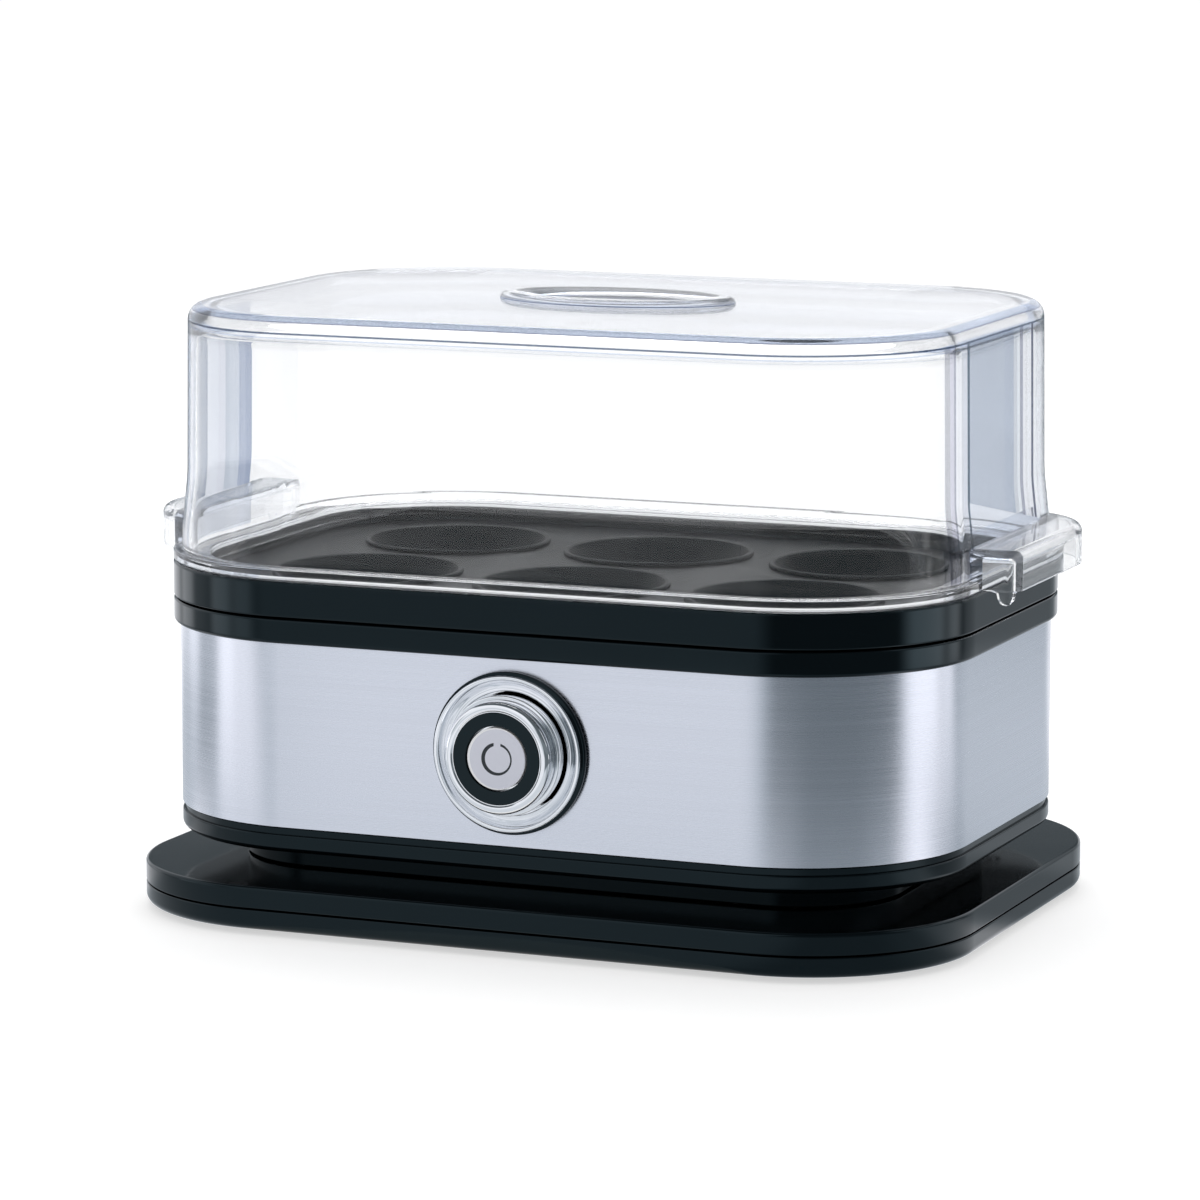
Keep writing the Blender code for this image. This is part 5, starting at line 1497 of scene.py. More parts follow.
    def gland(self) -> None:
        """The rubber gland in the rear of the steel wrap."""
        low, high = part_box("cord_gland")
        centre = middle_of("cord_gland")
        centre.y = self.sizes.body.half_y
        flange = (high.x - low.x) / 2
        outer = SEAT_GAP + self.gland_flange
        inside = self.sheet + SEAT_GAP
        tail = centre.y - low.y
        profile = filleted(
            [
                (self.gland_bore, -outer, self.edge * 2),
                (flange, -outer, self.gland_flange / 2),
                (flange, -SEAT_GAP, self.edge),
                (self.gland_radius, -SEAT_GAP, 0),
                (self.gland_radius, inside, 0),
                (flange, inside, self.edge),
                (self.gland_radius, tail, self.edge),
                (self.gland_bore, tail, self.edge),
            ]
        )
        surface = facing_front(turned(profile, closed=True), centre)
        self.dress(to_object(surface, "cord_gland_form"), "black_rubber", Body.BASE, "cord_gland")


@dataclass
class PowerButton(Assembly):
    """The chrome collar on the steel and the barrel with its black ring and silver cap."""

    sizes: Sizes
    proud: float = 0.0080
    barrel_radius: float = 0.0126
    nose_radius: float = 0.0118
    nose_round: float = 0.0012
    wall: float = 0.0015
    web: float = 0.0020
    groove: float = 0.0003
    groove_width: float = 0.0006
    tail: float = 0.0015
    ring_radius: float = 0.0097
    ring_depth: float = 0.0014
    backset: float = 0.0002
    cap_radius: float = 0.0065
    cap_crown: float = 0.0002
    crown_edge: float = 0.90
    crown_first: float = 0.88
    crown_last: float = 0.05
    crown_rings: int = 12
    collar_base: float = 0.0014
    lip_radius: float = 0.0164
    lip_height: float = 0.0027
    lip_width: float = 0.0007
    dish_depth: float = 0.0018
    bead_width: float = 0.0008
    bead_height: float = 0.0004
    bead_flatness: float = 2.2
    sleeve_wall: float = 0.0011
    sleeve_length: float = 0.0080
    stem_bore: float = 0.0034
    spring_radius: float = 0.0046
    spring_wire: float = 0.0004
    spring_turns: int = 5
    travel: float = 0.0025

    def build(self) -> None:
        """Builds collar, barrel, ring, cap and spring."""
        centre = middle_of("button_cap")
        centre.y = -self.sizes.body.half_y
        collar_low, collar_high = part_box("button_collar")
        collar_radius = (collar_high.x - collar_low.x) / 2
        rear = centre.y - collar_high.y
        shapes = (
            ("button_collar", self.collar(collar_radius, rear), True, "chrome", Body.BASE),
            ("button_barrel", self.barrel(), False, "chrome", Body.BUTTON),
            ("button_ring", self.ring(), True, "black_gloss_plastic", Body.BUTTON),
            ("button_cap", self.cap(), False, "satin_silver", Body.BUTTON),
        )
        for node, profile, closed, slot, body in shapes:
            surface = facing_front(turned(profile, SIDES * 2, closed), centre)
            item = self.dress(to_object(surface, node + "_form"), slot, body, node)
            if node == "button_collar":
                self.paint_base_shadow(item, centre)
        self.spring(centre)

    def paint_base_shadow(self, item: bpy.types.Object, centre: Vector) -> None:
        """Gives the collar's base ring, outside the lip and no higher than its own step, the
        black plastic's finish: a painted shadow line where the collar meets the steel.

        Args:
            item: the collar.
            centre: where the button's axis meets the steel.
        """
        middles = face_middles(item) - np.array(centre)
        outside = np.hypot(middles[:, 0], middles[:, 2]) > self.lip_radius - SEAT_GAP / 4
        low = -middles[:, 1] < self.collar_base + SEAT_GAP / 4
        # Black on the base ring: painted shadow between the collar and the steel.
        self.paint(item, "black_gloss_plastic", outside & low)

    def spring(self, centre: Vector) -> None:
        """The return spring, which shortens as the button goes in; here it is built at its solid's
        length and rides on the base.

        The wire's middle line turns round the axis at an even radius while it moves ahead. A point
        of the wire lies its radius away, by the cosine of an angle outwards and by the sine ahead.

        Args:
            centre: where the button's axis meets the steel.
        """
        low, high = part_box("button_spring")
        wire, length = self.spring_wire, high.y - low.y
        turn = np.linspace(0, 2 * np.pi * self.spring_turns, self.spring_turns * SIDES // 2)[:, None]
        round_wire = np.linspace(0, 2 * np.pi, SIDES // 8, endpoint=False)[None]
        out = self.spring_radius + wire * np.cos(round_wire)
        start = centre.y - high.y + wire
        ahead = start + (length - 2 * wire) * turn / turn[-1] + wire * np.sin(round_wire)
        points = np.stack([out * np.cos(turn), out * np.sin(turn), ahead], axis=2)
        surface = facing_front(lattice(points, closed=False), centre)
        item = to_object(surface, "button_spring_form")
        self.dress(item, "zinc_plated_steel", Body.BASE, "button_spring")
        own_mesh(item)

    def collar(self, radius: float, rear: float) -> Points:
        """Profile of the collar: base ring, lip, sloped dish, the bead round the bore and the
        sleeve behind the steel.

        Args:
            radius: the base ring's radius.
            rear: how far ahead the sleeve's end lies, which is behind the steel and so negative.

        Returns:
            The profile's points.
        """
        bore = self.barrel_radius + LIFT_GAP
        sleeve = bore + self.sleeve_wall
        floor = self.lip_height - self.dish_depth
        inner_lip = self.lip_radius - self.lip_width
        bead = bore + self.bead_width
        bead_round = self.bead_width / self.bead_flatness
        return filleted(
            [
                (sleeve, SEAT_GAP, 0),
                (radius, SEAT_GAP, self.groove),
                (radius, self.collar_base, self.groove),
                (self.lip_radius, self.collar_base, 0),
                (self.lip_radius, self.lip_height, self.lip_width / 2),
                (inner_lip, self.lip_height, self.lip_width / 3),
                (inner_lip - self.groove, self.lip_height - self.groove, 0),
                (bead + self.bead_width, floor, self.dish_depth),
                (bead + self.groove, floor - self.groove, 0),
                (bead, floor - self.groove, 0),
                (bead, floor + self.bead_height, bead_round),
                (bore, floor + self.bead_height, bead_round),
                (bore, -self.sleeve_length, 0),
                (self.stem_bore, -self.sleeve_length, 0),
                (self.stem_bore, rear, 0),
                (sleeve, rear, 0),
            ]
        )

    def barrel(self) -> Points:
        """Profile of the barrel: rounded nose, shoulder groove, web and open tail.

        Returns:
            The profile's points.
        """
        pocket = self.ring_radius + SEAT_GAP
        floor = self.proud - self.ring_depth - SEAT_GAP
        shoulder = self.lip_height + self.nose_round
        ledge = shoulder + 2 * self.groove_width
        neck = self.nose_radius - self.groove
        hollow = self.barrel_radius - self.wall
        rib = (self.ring_radius + self.nose_radius - self.nose_round) / 2
        return filleted(
            [
                (pocket, floor, 0),
                (pocket, self.proud - self.groove, self.groove),
                (rib - self.groove, self.proud - self.groove, 0),
                (rib, self.proud, self.groove / 2),
                (self.nose_radius, self.proud, self.nose_round),
                (self.nose_radius, ledge, self.groove / 2),
                (neck, ledge, 0),
                (neck, shoulder + self.groove_width, 0),
                (self.barrel_radius, shoulder + self.groove_width, self.groove),
                (self.barrel_radius, -self.tail, 0),
                (hollow, -self.tail, 0),
                (hollow, floor - self.web, 0),
            ],
            closed=False,
        )

    def ring(self) -> Points:
        """Profile of the black ring.

        Returns:
            The profile's points.
        """
        face = self.proud - self.backset
        back = self.proud - self.ring_depth
        inner = self.cap_radius + SEAT_GAP
        return filleted(
            [
                (self.ring_radius, back, 0),
                (self.ring_radius, face, self.backset),
                (inner, face, self.backset),
                (inner, back, 0),
            ]
        )

    def cap(self) -> Points:
        """Profile of the silver cap: a rounded rim and a faint crown, whose height over the rim is
        crown * (1 - (r / edge)^2) at radius r.

        Returns:
            The profile's points.
        """
        face = self.proud - self.backset
        back = self.proud - self.ring_depth
        edge = self.cap_radius * self.crown_edge
        rim = filleted(
            [
                (self.cap_radius, back, 0),
                (self.cap_radius, face, self.backset),
                (edge, face, 0),
            ],
            closed=False,
        )
        first, last = self.cap_radius * self.crown_first, self.cap_radius * self.crown_last
        radii = np.linspace(first, last, self.crown_rings)
        crown = face + self.cap_crown * (1 - (radii / edge) ** 2)
        return np.vstack([rim, np.column_stack([radii, crown])])


@dataclass
class EggTray(Assembly):
    """The upper black band with its deck and six funnel cups."""

    sizes: Sizes
    skirt_wall: float = 0.0022
    ledge: float = 0.0064
    inner_wall: float = 0.0020
    deck_drop: float = 0.0034
    deck: float = 0.0020
    fillet: float = 0.0010
    band_edge: float = 0.0005
    spigot_wall: float = 0.0016
    spigot_drop: float = 0.0043
    flange_inset: float = 0.0085
    draw_in_ends: float = 0.0032
    draw_in_sides: float = 0.0007
    cup_land: float = 0.0044
    cup_funnel: float = 0.0044
    cup_wall: float = 0.0014
    cup_rise: float = 0.0010
    cup_depth: float = 0.0085
    deck_middle: float = 0.9

    def build(self) -> None:
        """Builds the tray as one moulding."""
        sizes = self.sizes
        rim_top, rim_bottom = sizes.rim_top, sizes.rim_bottom
        floor = rim_top - self.deck_drop
        under = floor - self.deck
        inner = sizes.band_overhang - self.ledge
        hook = sizes.band_overhang - self.skirt_wall
        spigot = SEAT_GAP - LIFT_GAP - self.flange_inset
        middle = -sizes.body.corner * self.deck_middle
        profile = filleted(
            [
                (middle, floor, 0),
                (inner, floor, self.fillet),
                (inner, rim_top, self.band_edge),
                (sizes.band_overhang, rim_top, self.band_edge),
                (sizes.band_overhang, rim_bottom, self.band_edge),
                (hook, rim_bottom, self.band_edge),
                (hook, rim_top - self.deck, 0),
                (inner + self.inner_wall, rim_top - self.deck, 0),
                (inner + self.inner_wall, under, 0),
                (spigot, under, 0),
                (spigot, under - self.spigot_drop, 0),
                (spigot - self.spigot_wall, under - self.spigot_drop, 0),
                (spigot - self.spigot_wall, under, 0),
                (middle, under, 0),
            ],
            closed=False,
        )
        item = to_object(swept(sizes.body, profile, closed=False), "egg_tray_form")
        self.cups(item, floor)
        self.dress(item, "black_satin_plastic", Body.TRAY, "egg_tray")
        middles = np.abs(face_middles(item)[:, :2]) - np.array(sizes.body.corner_centre())
        reach = np.hypot(*np.maximum(middles, 0).T)
        self.paint(item, "black_gloss_plastic", reach > sizes.body.corner)

    def cups(self, item: bpy.types.Object, floor: float) -> None:
        """Adds six funnels with rounded lips and cuts their bores.

        Args:
            item: the tray.
            floor: the deck's height.
        """
        centre_x, centre_y = self.sizes.body.corner_centre()
        pitch, row = centre_x - self.draw_in_ends, centre_y - self.draw_in_sides
        mouth = min(pitch, 2 * row) / 2 - self.cup_land
        seat = mouth - self.cup_funnel
        lip, low = floor + self.cup_rise, floor - self.cup_depth
        slope = self.cup_funnel / (lip - low)
        outside = filleted(
            [
                (seat + self.cup_wall, low, 0),
                (mouth + self.cup_wall, lip, self.band_edge),
                (mouth / 2, lip, 0),
            ],
            closed=False,
        )
        bore = np.array(
            [
                (seat - slope * OVERRUN, low - OVERRUN),
                (mouth - slope * self.band_edge, lip - self.band_edge),
                (mouth - slope * self.band_edge + self.band_edge / 3, lip - self.band_edge / 3),
                (mouth + self.band_edge, lip),
                (mouth + self.band_edge, lip + OVERRUN),
            ]
        )
        for side in (-1, 1):
            for column in (-1, 0, 1):
                spot = (column * pitch, side * row, 0)
                combine(item, Join.ADD, turned(outside).moved(spot))
                combine(item, Join.CUT, turned(bore).moved(spot))


@dataclass
class ClearLid(Assembly):
    """The clear cover: one moulding with skirt, dished pad, two handles and their tongues.

    Each tongue level holds how far up from the tip to the handle's foot it lies, where it starts as
    a share of the tongue's width, and the angle at which its arc round the handle's corner ends.
    """

    sizes: Sizes
    wall: float = 0.0020
    roof: float = 0.0023
    roof_middle: float = 0.95
    roof_round: float = 0.0034
    roof_inner_round: float = 0.0050
    top_inset: float = 0.0023
    wall_inset: float = 0.0018
    skirt_inset: float = 0.0005
    skirt_rise: float = 0.0040
    step_rise: float = 0.0115
    step_round: float = 0.040
    flange: float = 0.0023
    flange_edge: float = 0.0005
    inner_flange: float = 0.0014
    spigot_wall: float = 0.0012
    spigot_drop: float = 0.0020
    ledge: float = 0.0064
    pad_length: float = 0.0532
    pad_width: float = 0.0310
    pad_slope: float = 0.0018
    dish_rim: float = 0.0016
    valley_length: float = 0.0340
    valley_width: float = 0.0020
    valley_depth: float = 0.0016
    handle_reach: float = 0.0086
    square_short: float = 0.0014
    swept_past: float = 0.0138
    handle_corner: float = 0.0030
    handle_sweep: float = 0.0220
    handle_rise: float = 0.0089
    handle_height: float = 0.0084
    handle_wall: float = 0.0018
    handle_edge: float = 0.0018
    hollow_round: float = 0.0011
    tongue_width: float = 0.0045
    tongue_drop: float = 0.0024
    tongue_inset: float = 0.0001
    tongue_levels: tuple[Triple, ...] = (
        (0.00, 0.36, -80),
        (0.05, 0.22, -70),
        (0.16, 0.12, -62),
        (0.45, 0.00, -48),
        (0.85, -0.06, -45),
        (1.05, -0.45, -30),
        (1.45, -0.45, -30),
    )

    def build(self) -> None:
        """Builds the lid and joins everything that is moulded with it."""
        item = to_object(swept(self.sizes.body, self.shell(), closed=False), "clear_lid_form")
        combine(item, Join.ADD, self.pad())
        combine(item, Join.CUT, self.pad_dish())
        for side in (-1, 1):
            combine(item, Join.ADD, self.handle(side))
            combine(item, Join.CUT, self.handle_hollow(side))
            combine(item, Join.ADD, self.tongue(side))
        self.dress(item, "clear_plastic", Body.LID, "clear_lid")
        item.visible_shadow = False

    def shell(self) -> Points:
        """Profile of the walls: roof edge, the soft step down to the skirt, flange and spigot, then
        the inside.

        Returns:
            The profile's points.
        """
        sizes = self.sizes
        bottom, top = sizes.lid_bottom, sizes.lid_top
        flange_top = bottom + self.flange
        skirt_top = flange_top + self.skirt_rise
        step_top = skirt_top + self.step_rise
        outer, spigot = sizes.band_overhang, sizes.band_overhang - self.ledge - LIFT_GAP
        inner = -self.skirt_inset - self.wall
        middle = -sizes.body.corner * self.roof_middle
        return filleted(
            [
                (middle, top, 0),
                (-self.top_inset, top, self.roof_round),
                (-self.wall_inset, step_top, self.step_round),
                (-self.skirt_inset, skirt_top, self.step_round),
                (-self.skirt_inset, flange_top, self.flange_edge),
                (outer, flange_top, self.flange_edge),
                (outer, bottom, self.flange_edge),
                (spigot, bottom, 0),
                (spigot, bottom - self.spigot_drop, self.flange_edge / 2),
                (spigot - self.spigot_wall, bottom - self.spigot_drop, self.flange_edge / 2),
                (spigot - self.spigot_wall, bottom + self.inner_flange, self.flange_edge),
                (inner, bottom + self.inner_flange, self.flange_edge),
                (inner, skirt_top, self.step_round),
                (-self.wall_inset - self.wall, step_top, self.step_round),
                (-self.top_inset - self.wall, top - self.roof, self.roof_inner_round),
                (middle, top - self.roof, 0),
            ],
            closed=False,
        )

    def oval(self, half_x: float, half_y: float) -> Points:
        """An ellipse's points (half_x cos a, half_y sin a)."""
        angles = np.arange(SIDES * 2) * np.pi / SIDES
        return np.column_stack([half_x * np.cos(angles), half_y * np.sin(angles)])

    def pad(self) -> Surface:
        """The raised oval pad on the roof, its side rising in a quarter of a wave.

        Returns:
            The pad, whose ovals are drawn in by slope * (1 - cos a) at height rise * sin a.
        """
        half_x, half_y = self.pad_length / 2, self.pad_width / 2
        top = self.sizes.lid_top
        share = np.linspace(0, 1, FILLET_STEPS * 2)
        inset = self.pad_slope * (1 - np.cos(share * np.pi / 2))
        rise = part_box("clear_lid")[1].z - top
        heights = [top - self.roof / 2, *(top + rise * np.sin(share * np.pi / 2))]
        plans = [self.oval(half_x, half_y)]
        plans += [self.oval(half_x - away, half_y - away) for away in inset]
        return stacked(plans, heights)

    def pad_dish(self) -> Surface:
        """The valley in the pad: an oval bowl that widens evenly from a narrow level floor.

        Returns:
            The bowl, which is cut out of the pad.
        """
        half_x = self.pad_length / 2 - self.pad_slope - self.dish_rim
        half_y = self.pad_width / 2 - self.pad_slope - self.dish_rim
        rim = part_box("clear_lid")[1].z
        share = np.linspace(0, 1, FILLET_STEPS * 2)
        depth = self.valley_depth * (1 - share)
        plans = [
            self.oval(
                self.valley_length / 2 + (half_x - self.valley_length / 2) * part,
                self.valley_width / 2 + (half_y - self.valley_width / 2) * part,
            )
            for part in share
        ]
        plans.append(self.oval(2 * half_x - self.valley_length / 2, 2 * half_y - self.valley_width / 2))
        return stacked(plans, [*(rim - depth), rim + self.valley_depth])

    def reach(self) -> float:
        """How far the right handle's face lies from the middle."""
        return self.sizes.body.half_x + self.sizes.band_overhang + self.handle_reach

    def front(self) -> float:
        """Where the right handle's square end lies along Y."""
        return self.square_short - self.sizes.body.corner_centre()[1]

    def handle_plan(self, inset: float, line: Outline) -> Points:
        """Plan of the right handle: a tight front corner and a wide sweep into the lid's corner.

        The sweep's circle meets the wall line's corner circle where both distances hold: measured
        from the sweep's centre, (d^2 + r0^2 - r1^2) / 2d along the line between the centres, and
        the rest of r0 square to it.

        Args:
            inset: how far inside the handle's outer face the plan lies.
            line: the outline that the handle is rooted in.

        Returns:
            The plan's points.
        """
        reach, front = self.reach() - inset, self.front() + inset
        sweep, corner = self.handle_sweep - inset, self.handle_corner - inset
        centre_x, centre_y = self.sizes.body.corner_centre()
        hub_y = centre_y + self.swept_past - self.handle_sweep
        hub = np.array([self.reach() - self.handle_sweep, hub_y])
        far = np.array([centre_x, centre_y])
        apart = np.linalg.norm(far - hub)
        along = (far - hub) / apart
        near = (apart**2 + sweep**2 - line.corner**2) / (2 * apart)
        square = np.array([along[1], -along[0]]) * math.sqrt(sweep**2 - near**2)
        meet = hub + along * near + square
        if meet[1] < (hub + along * near - square)[1]:
            meet = hub + along * near - square
        turn = math.degrees(math.atan2(*(meet - hub)[::-1]))
        inner = math.degrees(math.atan2(*(meet - far)[::-1]))
        steps = CORNER_STEPS
        corner_centre = (reach - corner, front + corner)
        return np.vstack(
            [
                [(line.half_x, front)],
                arc(*corner_centre, corner, -90, 0, steps),
                arc(*hub, sweep, 0, turn, steps),
                arc(*far, line.corner, inner, 0, steps)[1:],
            ]
        )

    def handle(self, side: int) -> Surface:
        """The solid handle, its top edge rounded by a quarter circle.

        Args:
            side: 1 for the right handle, -1 for the left one, which is the same turned half round.

        Returns:
            The handle.
        """
        top = self.sizes.lid_bottom + self.handle_rise
        line = self.sizes.body.grown(-self.skirt_inset - self.wall / 2)
        round_part = arc(0, top - self.handle_edge, self.handle_edge, 0, 90, FILLET_STEPS)
        levels = [(0.0, top - self.handle_height)]
        levels += [(self.handle_edge - across, up) for across, up in round_part]
        plans = [self.handle_plan(inset, line) * side for inset, _ in levels]
        return stacked(plans, [height for _, height in levels])

    def handle_hollow(self, side: int) -> Surface:
        """The space inside the handle, open below.

        Args:
            side: 1 for the right handle, -1 for the left one.

        Returns:
            The space, which is cut out of the handle.
        """
        top = self.sizes.lid_bottom + self.handle_rise - self.handle_wall
        bottom = self.sizes.lid_bottom + self.handle_rise - self.handle_height - OVERRUN
        line = self.sizes.body.grown(self.sizes.band_overhang + SEAT_GAP)
        rounding = self.hollow_round
        levels = [(self.handle_wall, bottom)]
        for across, up in arc(0, top - rounding, rounding, 0, 90, FILLET_STEPS):
            levels.append((self.handle_wall + rounding - across, up))
        plans = [self.handle_plan(inset, line) * side for inset, _ in levels]
        return stacked(plans, [height for _, height in levels])

    def tongue(self, side: int) -> Surface:
        """The tongue that hangs from the handle's square corner, narrowed and rounded at its tip.

        Args:
            side: 1 for the right handle, -1 for the left one.

        Returns:
            The tongue.
        """
        bottom = self.sizes.lid_bottom + self.handle_rise - self.handle_height
        tip = self.sizes.lid_bottom - self.tongue_drop
        start = self.reach() - self.tongue_width
        plans, heights = [], []
        for up, across, end in self.tongue_levels:
            plans.append(self.tongue_plan(start + across * self.tongue_width, end) * side)
            heights.append(tip + up * (bottom - tip))
        return stacked(plans, heights)

    def tongue_plan(self, start: float, end: float) -> Points:
        """Plan of the tongue: the handle's front wall and a part of its corner.

        Args:
            start: where the plan starts along X.
            end: the angle at which it ends round the corner, in degrees.

        Returns:
            The plan's points.
        """
        outer = self.handle_corner - self.tongue_inset
        inner = self.handle_corner - self.handle_wall + self.tongue_inset
        x, y = self.reach() - self.handle_corner, self.front() + self.handle_corner
        outside = arc(x, y, outer, -90, end, FILLET_STEPS)
        inside = arc(x, y, inner, end, -90, FILLET_STEPS)
        return np.vstack([[(start, y - outer)], outside, inside, [(start, y - inner)]])


def dress_kept_nodes(palette: dict[str, Finish]) -> None:
    """Gives every CAD node that stays in view the finish of its slot.

    Args:
        palette: the finishes, by slot.
    """
    for name, node in sorted(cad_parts.items()):
        if node.hide_render:
            continue
        slot = node.data.materials[0].name.split(".")[0]
        node.data.materials[0] = palette[slot].material()
        LOG.info("%s keeps its solid and wears %s", name, slot)


@dataclass(frozen=True)
class Card:
    """A card in the paper tent: its direction in degrees from the front towards the right, its
    half width, its glow and the width of its soft edge."""

    direction: float
    half_width: float
    glow: float
    edge: float = 10.0

    def share(self, directions: Points) -> Points:
        """How much of each direction the card covers: a smooth step s^2 (3 - 2 s) at each edge.

        Args:
            directions: the directions, in degrees.

        Returns:
            The shares, from 0 to 1.
        """
        away = np.abs((directions - self.direction + 180) % 360 - 180)
        step = np.clip((self.half_width + self.edge / 2 - away) / self.edge, 0, 1)
        return step**2 * (3 - 2 * step)


@dataclass(frozen=True)
class Zone:
    """A zone of the tent between two (reach, height) points: an even glow and the cards on it."""

    start: tuple[float, float]
    end: tuple[float, float]
    glow: float
    cards: tuple[Card, ...] = ()

    def glows(self, directions: Points) -> Points:
        """The zone's glow in each direction, each card laid over those before it.

        Args:
            directions: the directions, in degrees.

        Returns:
            The glows.
        """
        levels = np.full(len(directions), self.glow)
        for card in self.cards:
            share = card.share(directions)
            levels = levels * (1 - share) + card.glow * share
        return levels


@dataclass
class Studio:
    """Pale floor, white surroundings, a soft lamp, the tent that glossy pieces mirror, camera."""

    fill: float = 0.74
    floor_radius: float = 6.0
    floor_colour: float = 0.60
    floor_glow: float = 0.57
    lamp_place: Triple = (-0.24, 0.60, 1.05)
    lamp_target: Triple = (0, 0, 0.06)
    lamp_size: float = 0.9
    lamp_energy: float = 5.0
    tent_half_x: float = 0.33
    tent_half_y: float = 0.31
    dim_tint: Colour = (0.84, 1.02, 1.14)
    bright_tint: Colour = (0.985, 1.0, 1.045)
    camera_place: Triple = (0.4321, -1.0544, 0.2468)
    azimuth: float = 22.47
    elevation: float = 9.09
    focal_pixels: float = 5334.7
    sensor: float = 36.0
    nearest_seen: float = 0.05
    near_floor: Zone = Zone(
        (0.28, 0.0004),
        (0.58, 0.0004),
        0.60,
        (
            Card(-76, 9, 0.95),
            Card(79, 8, 1.15),
            Card(106, 14, 0.40),
            Card(0, 50, 0.72, 30),
            Card(46, 14, 0.42, 12),
        ),
    )
    far_floor: Zone = Zone(
        (0.68, 0.0004),
        (1.0, 0.010),
        0.17,
        (
            Card(-12, 21, 0.92, 16),
            Card(-58, 11, 0.95),
            Card(-43, 7, 0.95, 8),
            Card(-78, 9, 0.30),
            Card(-95, 8, 0.55),
            Card(-112, 10, 0.56),
            Card(-141, 20, 1.12),
            Card(178, 24, 0.98, 12),
            Card(141, 17, 0.64, 14),
            Card(99, 16, 1.0, 14),
            Card(117, 7, 0.85),
        ),
    )
    band: Zone = Zone(
        (1.0, 0.016),
        (1.0, 0.044),
        0.15,
        (
            Card(-15, 24, 0.68, 12),
            Card(-47, 6, 1.30, 8),
            Card(-62, 8, 1.65),
            Card(-78, 7, 0.60, 8),
            Card(-96, 9, 1.50),
            Card(-120, 14, 1.10, 12),
            Card(-150, 18, 1.35, 12),
            Card(178, 20, 0.90, 14),
            Card(143, 15, 0.45, 10),
            Card(95, 14, 2.05, 12),
            Card(117, 6, 1.55),
        ),
    )
    wall: Zone = Zone(
        (1.0, 0.054),
        (1.0, 0.110),
        0.20,
        (Card(-15, 22, 0.90, 12), Card(-85, 38, 0.95, 14), Card(146, 14, 0.60, 12)),
    )
    upper_wall: Zone = Zone((1.0, 0.130), (1.0, 0.270), 0.98, (Card(45, 30, 0.12, 12),))
    ceiling: Zone = Zone((1.0, 0.330), (0.02, 0.420), 0.10)
    tent_rows: int = 7
    tent_columns: int = 360

    def build(self) -> None:
        """Builds the surroundings and the camera."""
        self.world()
        self.floor()
        self.tent()
        self.lamp()
        self.camera()

    def world(self) -> None:
        """White to the camera, in mirrors and through the lid; a soft fill for everything else."""
        world = bpy.data.worlds.new("studio_world")
        bpy.context.scene.world = world
        world.use_nodes = True
        tree = world.node_tree
        tree.nodes.clear()
        output = tree.nodes.new("ShaderNodeOutputWorld")
        path = tree.nodes.new("ShaderNodeLightPath")
        seen = path.outputs["Is Camera Ray"]
        for way in ("Is Transmission Ray", "Is Glossy Ray"):
            either = tree.nodes.new("ShaderNodeMath")
            either.operation = "MAXIMUM"
            tree.links.new(seen, either.inputs[0])
            tree.links.new(path.outputs[way], either.inputs[1])
            seen = either.outputs["Value"]
        strength = tree.nodes.new("ShaderNodeMapRange")
        strength.inputs["To Min"].default_value = self.fill
        strength.inputs["To Max"].default_value = 1.0
        tree.links.new(seen, strength.inputs["Value"])
        light = tree.nodes.new("ShaderNodeBackground")
        light.inputs["Color"].default_value = (1, 1, 1, 1)
        tree.links.new(strength.outputs["Result"], light.inputs["Strength"])
        tree.links.new(light.outputs["Background"], output.inputs["Surface"])

    def floor(self) -> None:
        """A wide pale floor that keeps shadows and melts into the white surroundings."""
        angles = np.arange(SIDES) * 2 * np.pi / SIDES
        plan = np.column_stack([np.cos(angles), np.sin(angles), np.zeros(SIDES)]) * self.floor_radius
        mesh = bpy.data.meshes.new("studio_floor")
        mesh.from_pydata(plan.tolist(), [], [list(range(SIDES))])
        item = bpy.data.objects.new("studio_floor", mesh)
        bpy.context.scene.collection.objects.link(item)
        graph = Graph("studio_floor")
        paper = graph.add("ShaderNodeBsdfDiffuse")
        paper.inputs["Color"].default_value = (*(self.floor_colour,) * 3, 1)
        glow = graph.add("ShaderNodeEmission")
        path = graph.add("ShaderNodeLightPath")
        seen = path.outputs["Is Camera Ray"]
        for way in ("Is Transmission Ray", "Is Glossy Ray"):
            seen = graph.math("MAXIMUM", seen, path.outputs[way])
        graph.join(graph.math("MULTIPLY", seen, self.floor_glow), glow.inputs["Strength"])
        both = graph.add("ShaderNodeAddShader")
        graph.join(paper.outputs["BSDF"], both.inputs[0])
        graph.join(glow.outputs["Emission"], both.inputs[1])
        graph.join(both.outputs["Shader"], graph.output.inputs["Surface"])
        mesh.materials.append(graph.material)

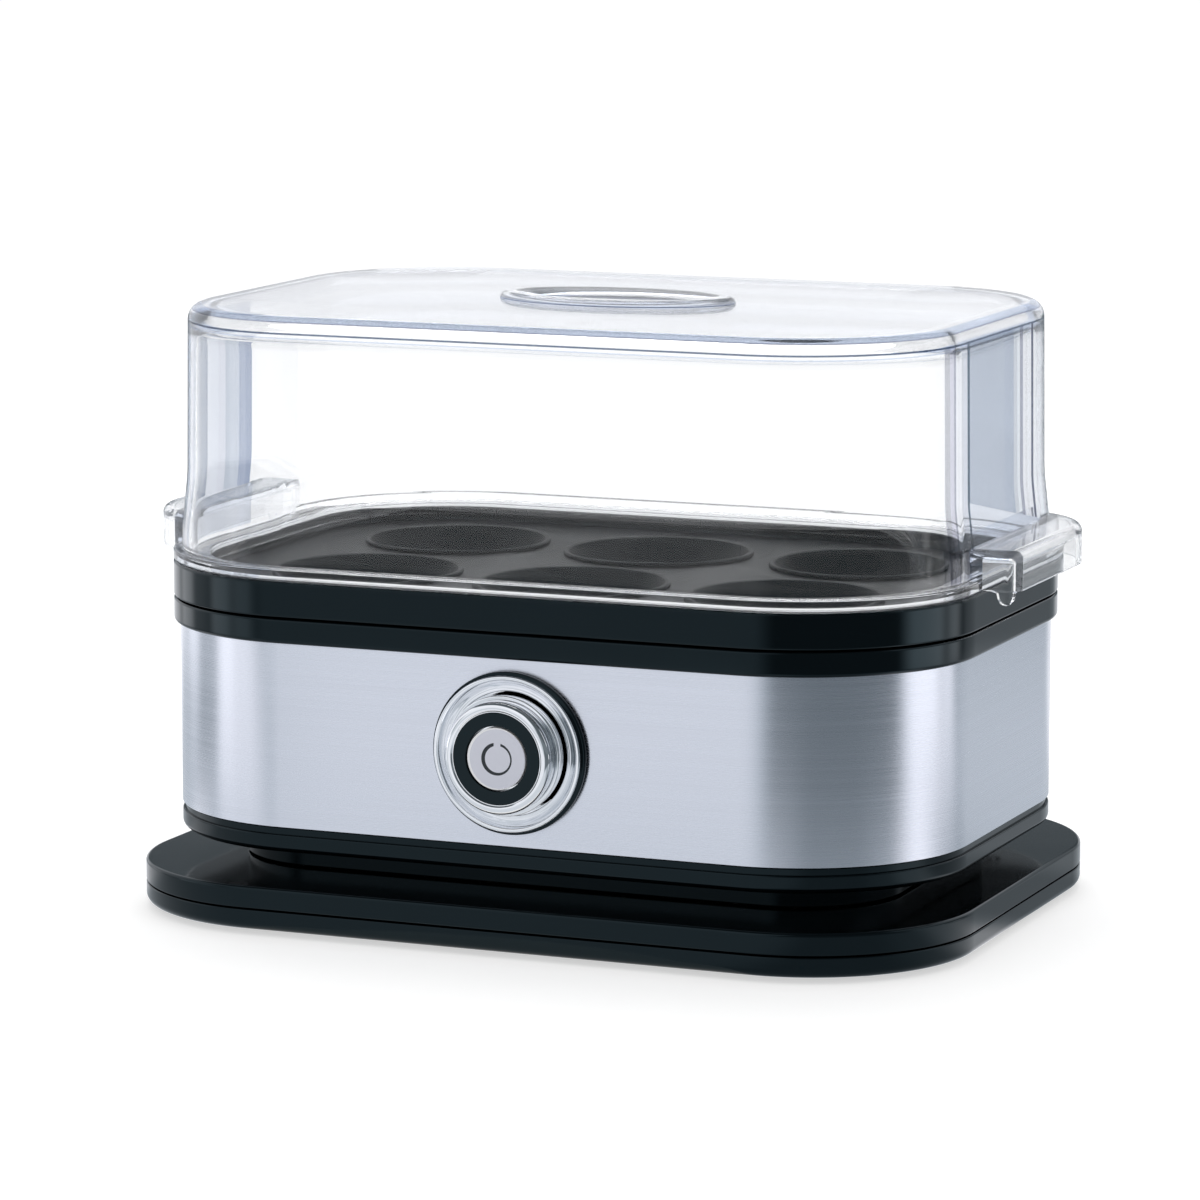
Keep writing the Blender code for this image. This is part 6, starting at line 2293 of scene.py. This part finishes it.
    def tent(self) -> None:
        """A paper tent round the object that only mirrors see: floor sheet, walls and ceiling.

        The wall is the ellipse (half_x sin a, -half_y cos a), and the sheet and the ceiling are
        the same ellipse shrunk by each zone's reach. From one zone's edge to the next, reach,
        height and glow are drawn evenly.
        """
        directions = np.linspace(-180, 180, self.tent_columns, endpoint=False)
        zones = (self.near_floor, self.far_floor, self.band, self.wall, self.upper_wall, self.ceiling)
        places = np.array([place for zone in zones for place in (zone.start, zone.end)])
        glows = np.repeat([zone.glows(directions) for zone in zones], 2, axis=0)
        share = np.linspace(0, 1, self.tent_rows, endpoint=False)[None, :, None]
        places = (places[:-1, None] * (1 - share) + places[1:, None] * share).reshape(-1, 2)
        glows = (glows[:-1, None] * (1 - share) + glows[1:, None] * share).reshape(len(places), -1)
        turns = np.radians(directions)
        ring = np.column_stack([self.tent_half_x * np.sin(turns), -self.tent_half_y * np.cos(turns)])
        plan = places[:, 0][:, None, None] * ring[None]
        heights = np.broadcast_to(places[:, 1][:, None, None], plan.shape[:2] + (1,))
        surface = lattice(np.concatenate([plan, heights], axis=2), closed=False)
        mesh = bpy.data.meshes.new("paper_tent")
        mesh.from_pydata(surface.points.tolist(), [], surface.faces[:-2])
        glow = mesh.attributes.new("glow", "FLOAT", "POINT")
        glow.data.foreach_set("value", glows.astype(np.float32).ravel())
        item = bpy.data.objects.new("paper_tent", mesh)
        bpy.context.scene.collection.objects.link(item)
        graph = Graph("paper_tent")
        paper = graph.add("ShaderNodeEmission")
        level = graph.add("ShaderNodeAttribute", attribute_name="glow")
        graph.join(level.outputs["Fac"], paper.inputs["Strength"])
        cool = graph.mixed(level.outputs["Fac"], self.dim_tint, self.bright_tint)
        graph.join(cool, paper.inputs["Color"])
        graph.join(paper.outputs["Emission"], graph.output.inputs["Surface"])
        mesh.materials.append(graph.material)
        item.visible_camera = False
        item.visible_diffuse = False
        item.visible_transmission = False
        item.visible_volume_scatter = False
        item.visible_shadow = False

    def lamp(self) -> None:
        """One broad soft lamp above and behind the object."""
        data = bpy.data.lights.new("soft_lamp", "AREA")
        data.shape = "DISK"
        data.size = self.lamp_size
        data.energy = self.lamp_energy
        item = bpy.data.objects.new("soft_lamp", data)
        bpy.context.scene.collection.objects.link(item)
        item.location = self.lamp_place
        item.rotation_mode = "QUATERNION"
        beam = Vector(self.lamp_target) - item.location
        item.rotation_quaternion = beam.to_track_quat("-Z", "Y")
        item.visible_camera = False
        item.visible_glossy = False

    def camera(self) -> None:
        """The camera at the photograph's viewing angle."""
        turn, rise = math.radians(self.azimuth), math.radians(self.elevation)
        level = math.cos(rise)
        back = Vector((math.sin(turn) * level, -math.cos(turn) * level, math.sin(rise)))
        right = Vector((math.cos(turn), math.sin(turn), 0))
        data = bpy.data.cameras.new("camera")
        data.sensor_width = self.sensor
        data.lens = self.focal_pixels / IMAGE_WIDTH * self.sensor
        data.clip_start = self.nearest_seen
        item = bpy.data.objects.new("camera", data)
        bpy.context.scene.collection.objects.link(item)
        axes = Matrix((right, back.cross(right), back)).transposed()
        item.matrix_world = Matrix.Translation(self.camera_place) @ axes.to_4x4()
        bpy.context.scene.camera = item


def main() -> None:
    """Builds the sub-assemblies in the order of assembly, then the studio."""
    logging.basicConfig(level=logging.INFO, format="%(name)s: %(message)s")
    bpy.context.scene.view_settings.view_transform = "Standard"
    sizes = Sizes()
    palette = finishes(sizes)
    for assembly in (Stand, Housing, PowerButton, EggTray, ClearLid):
        assembly(palette, sizes).build()
    dress_kept_nodes(palette)
    Studio().build()


if __name__ == "__main__":
    main()
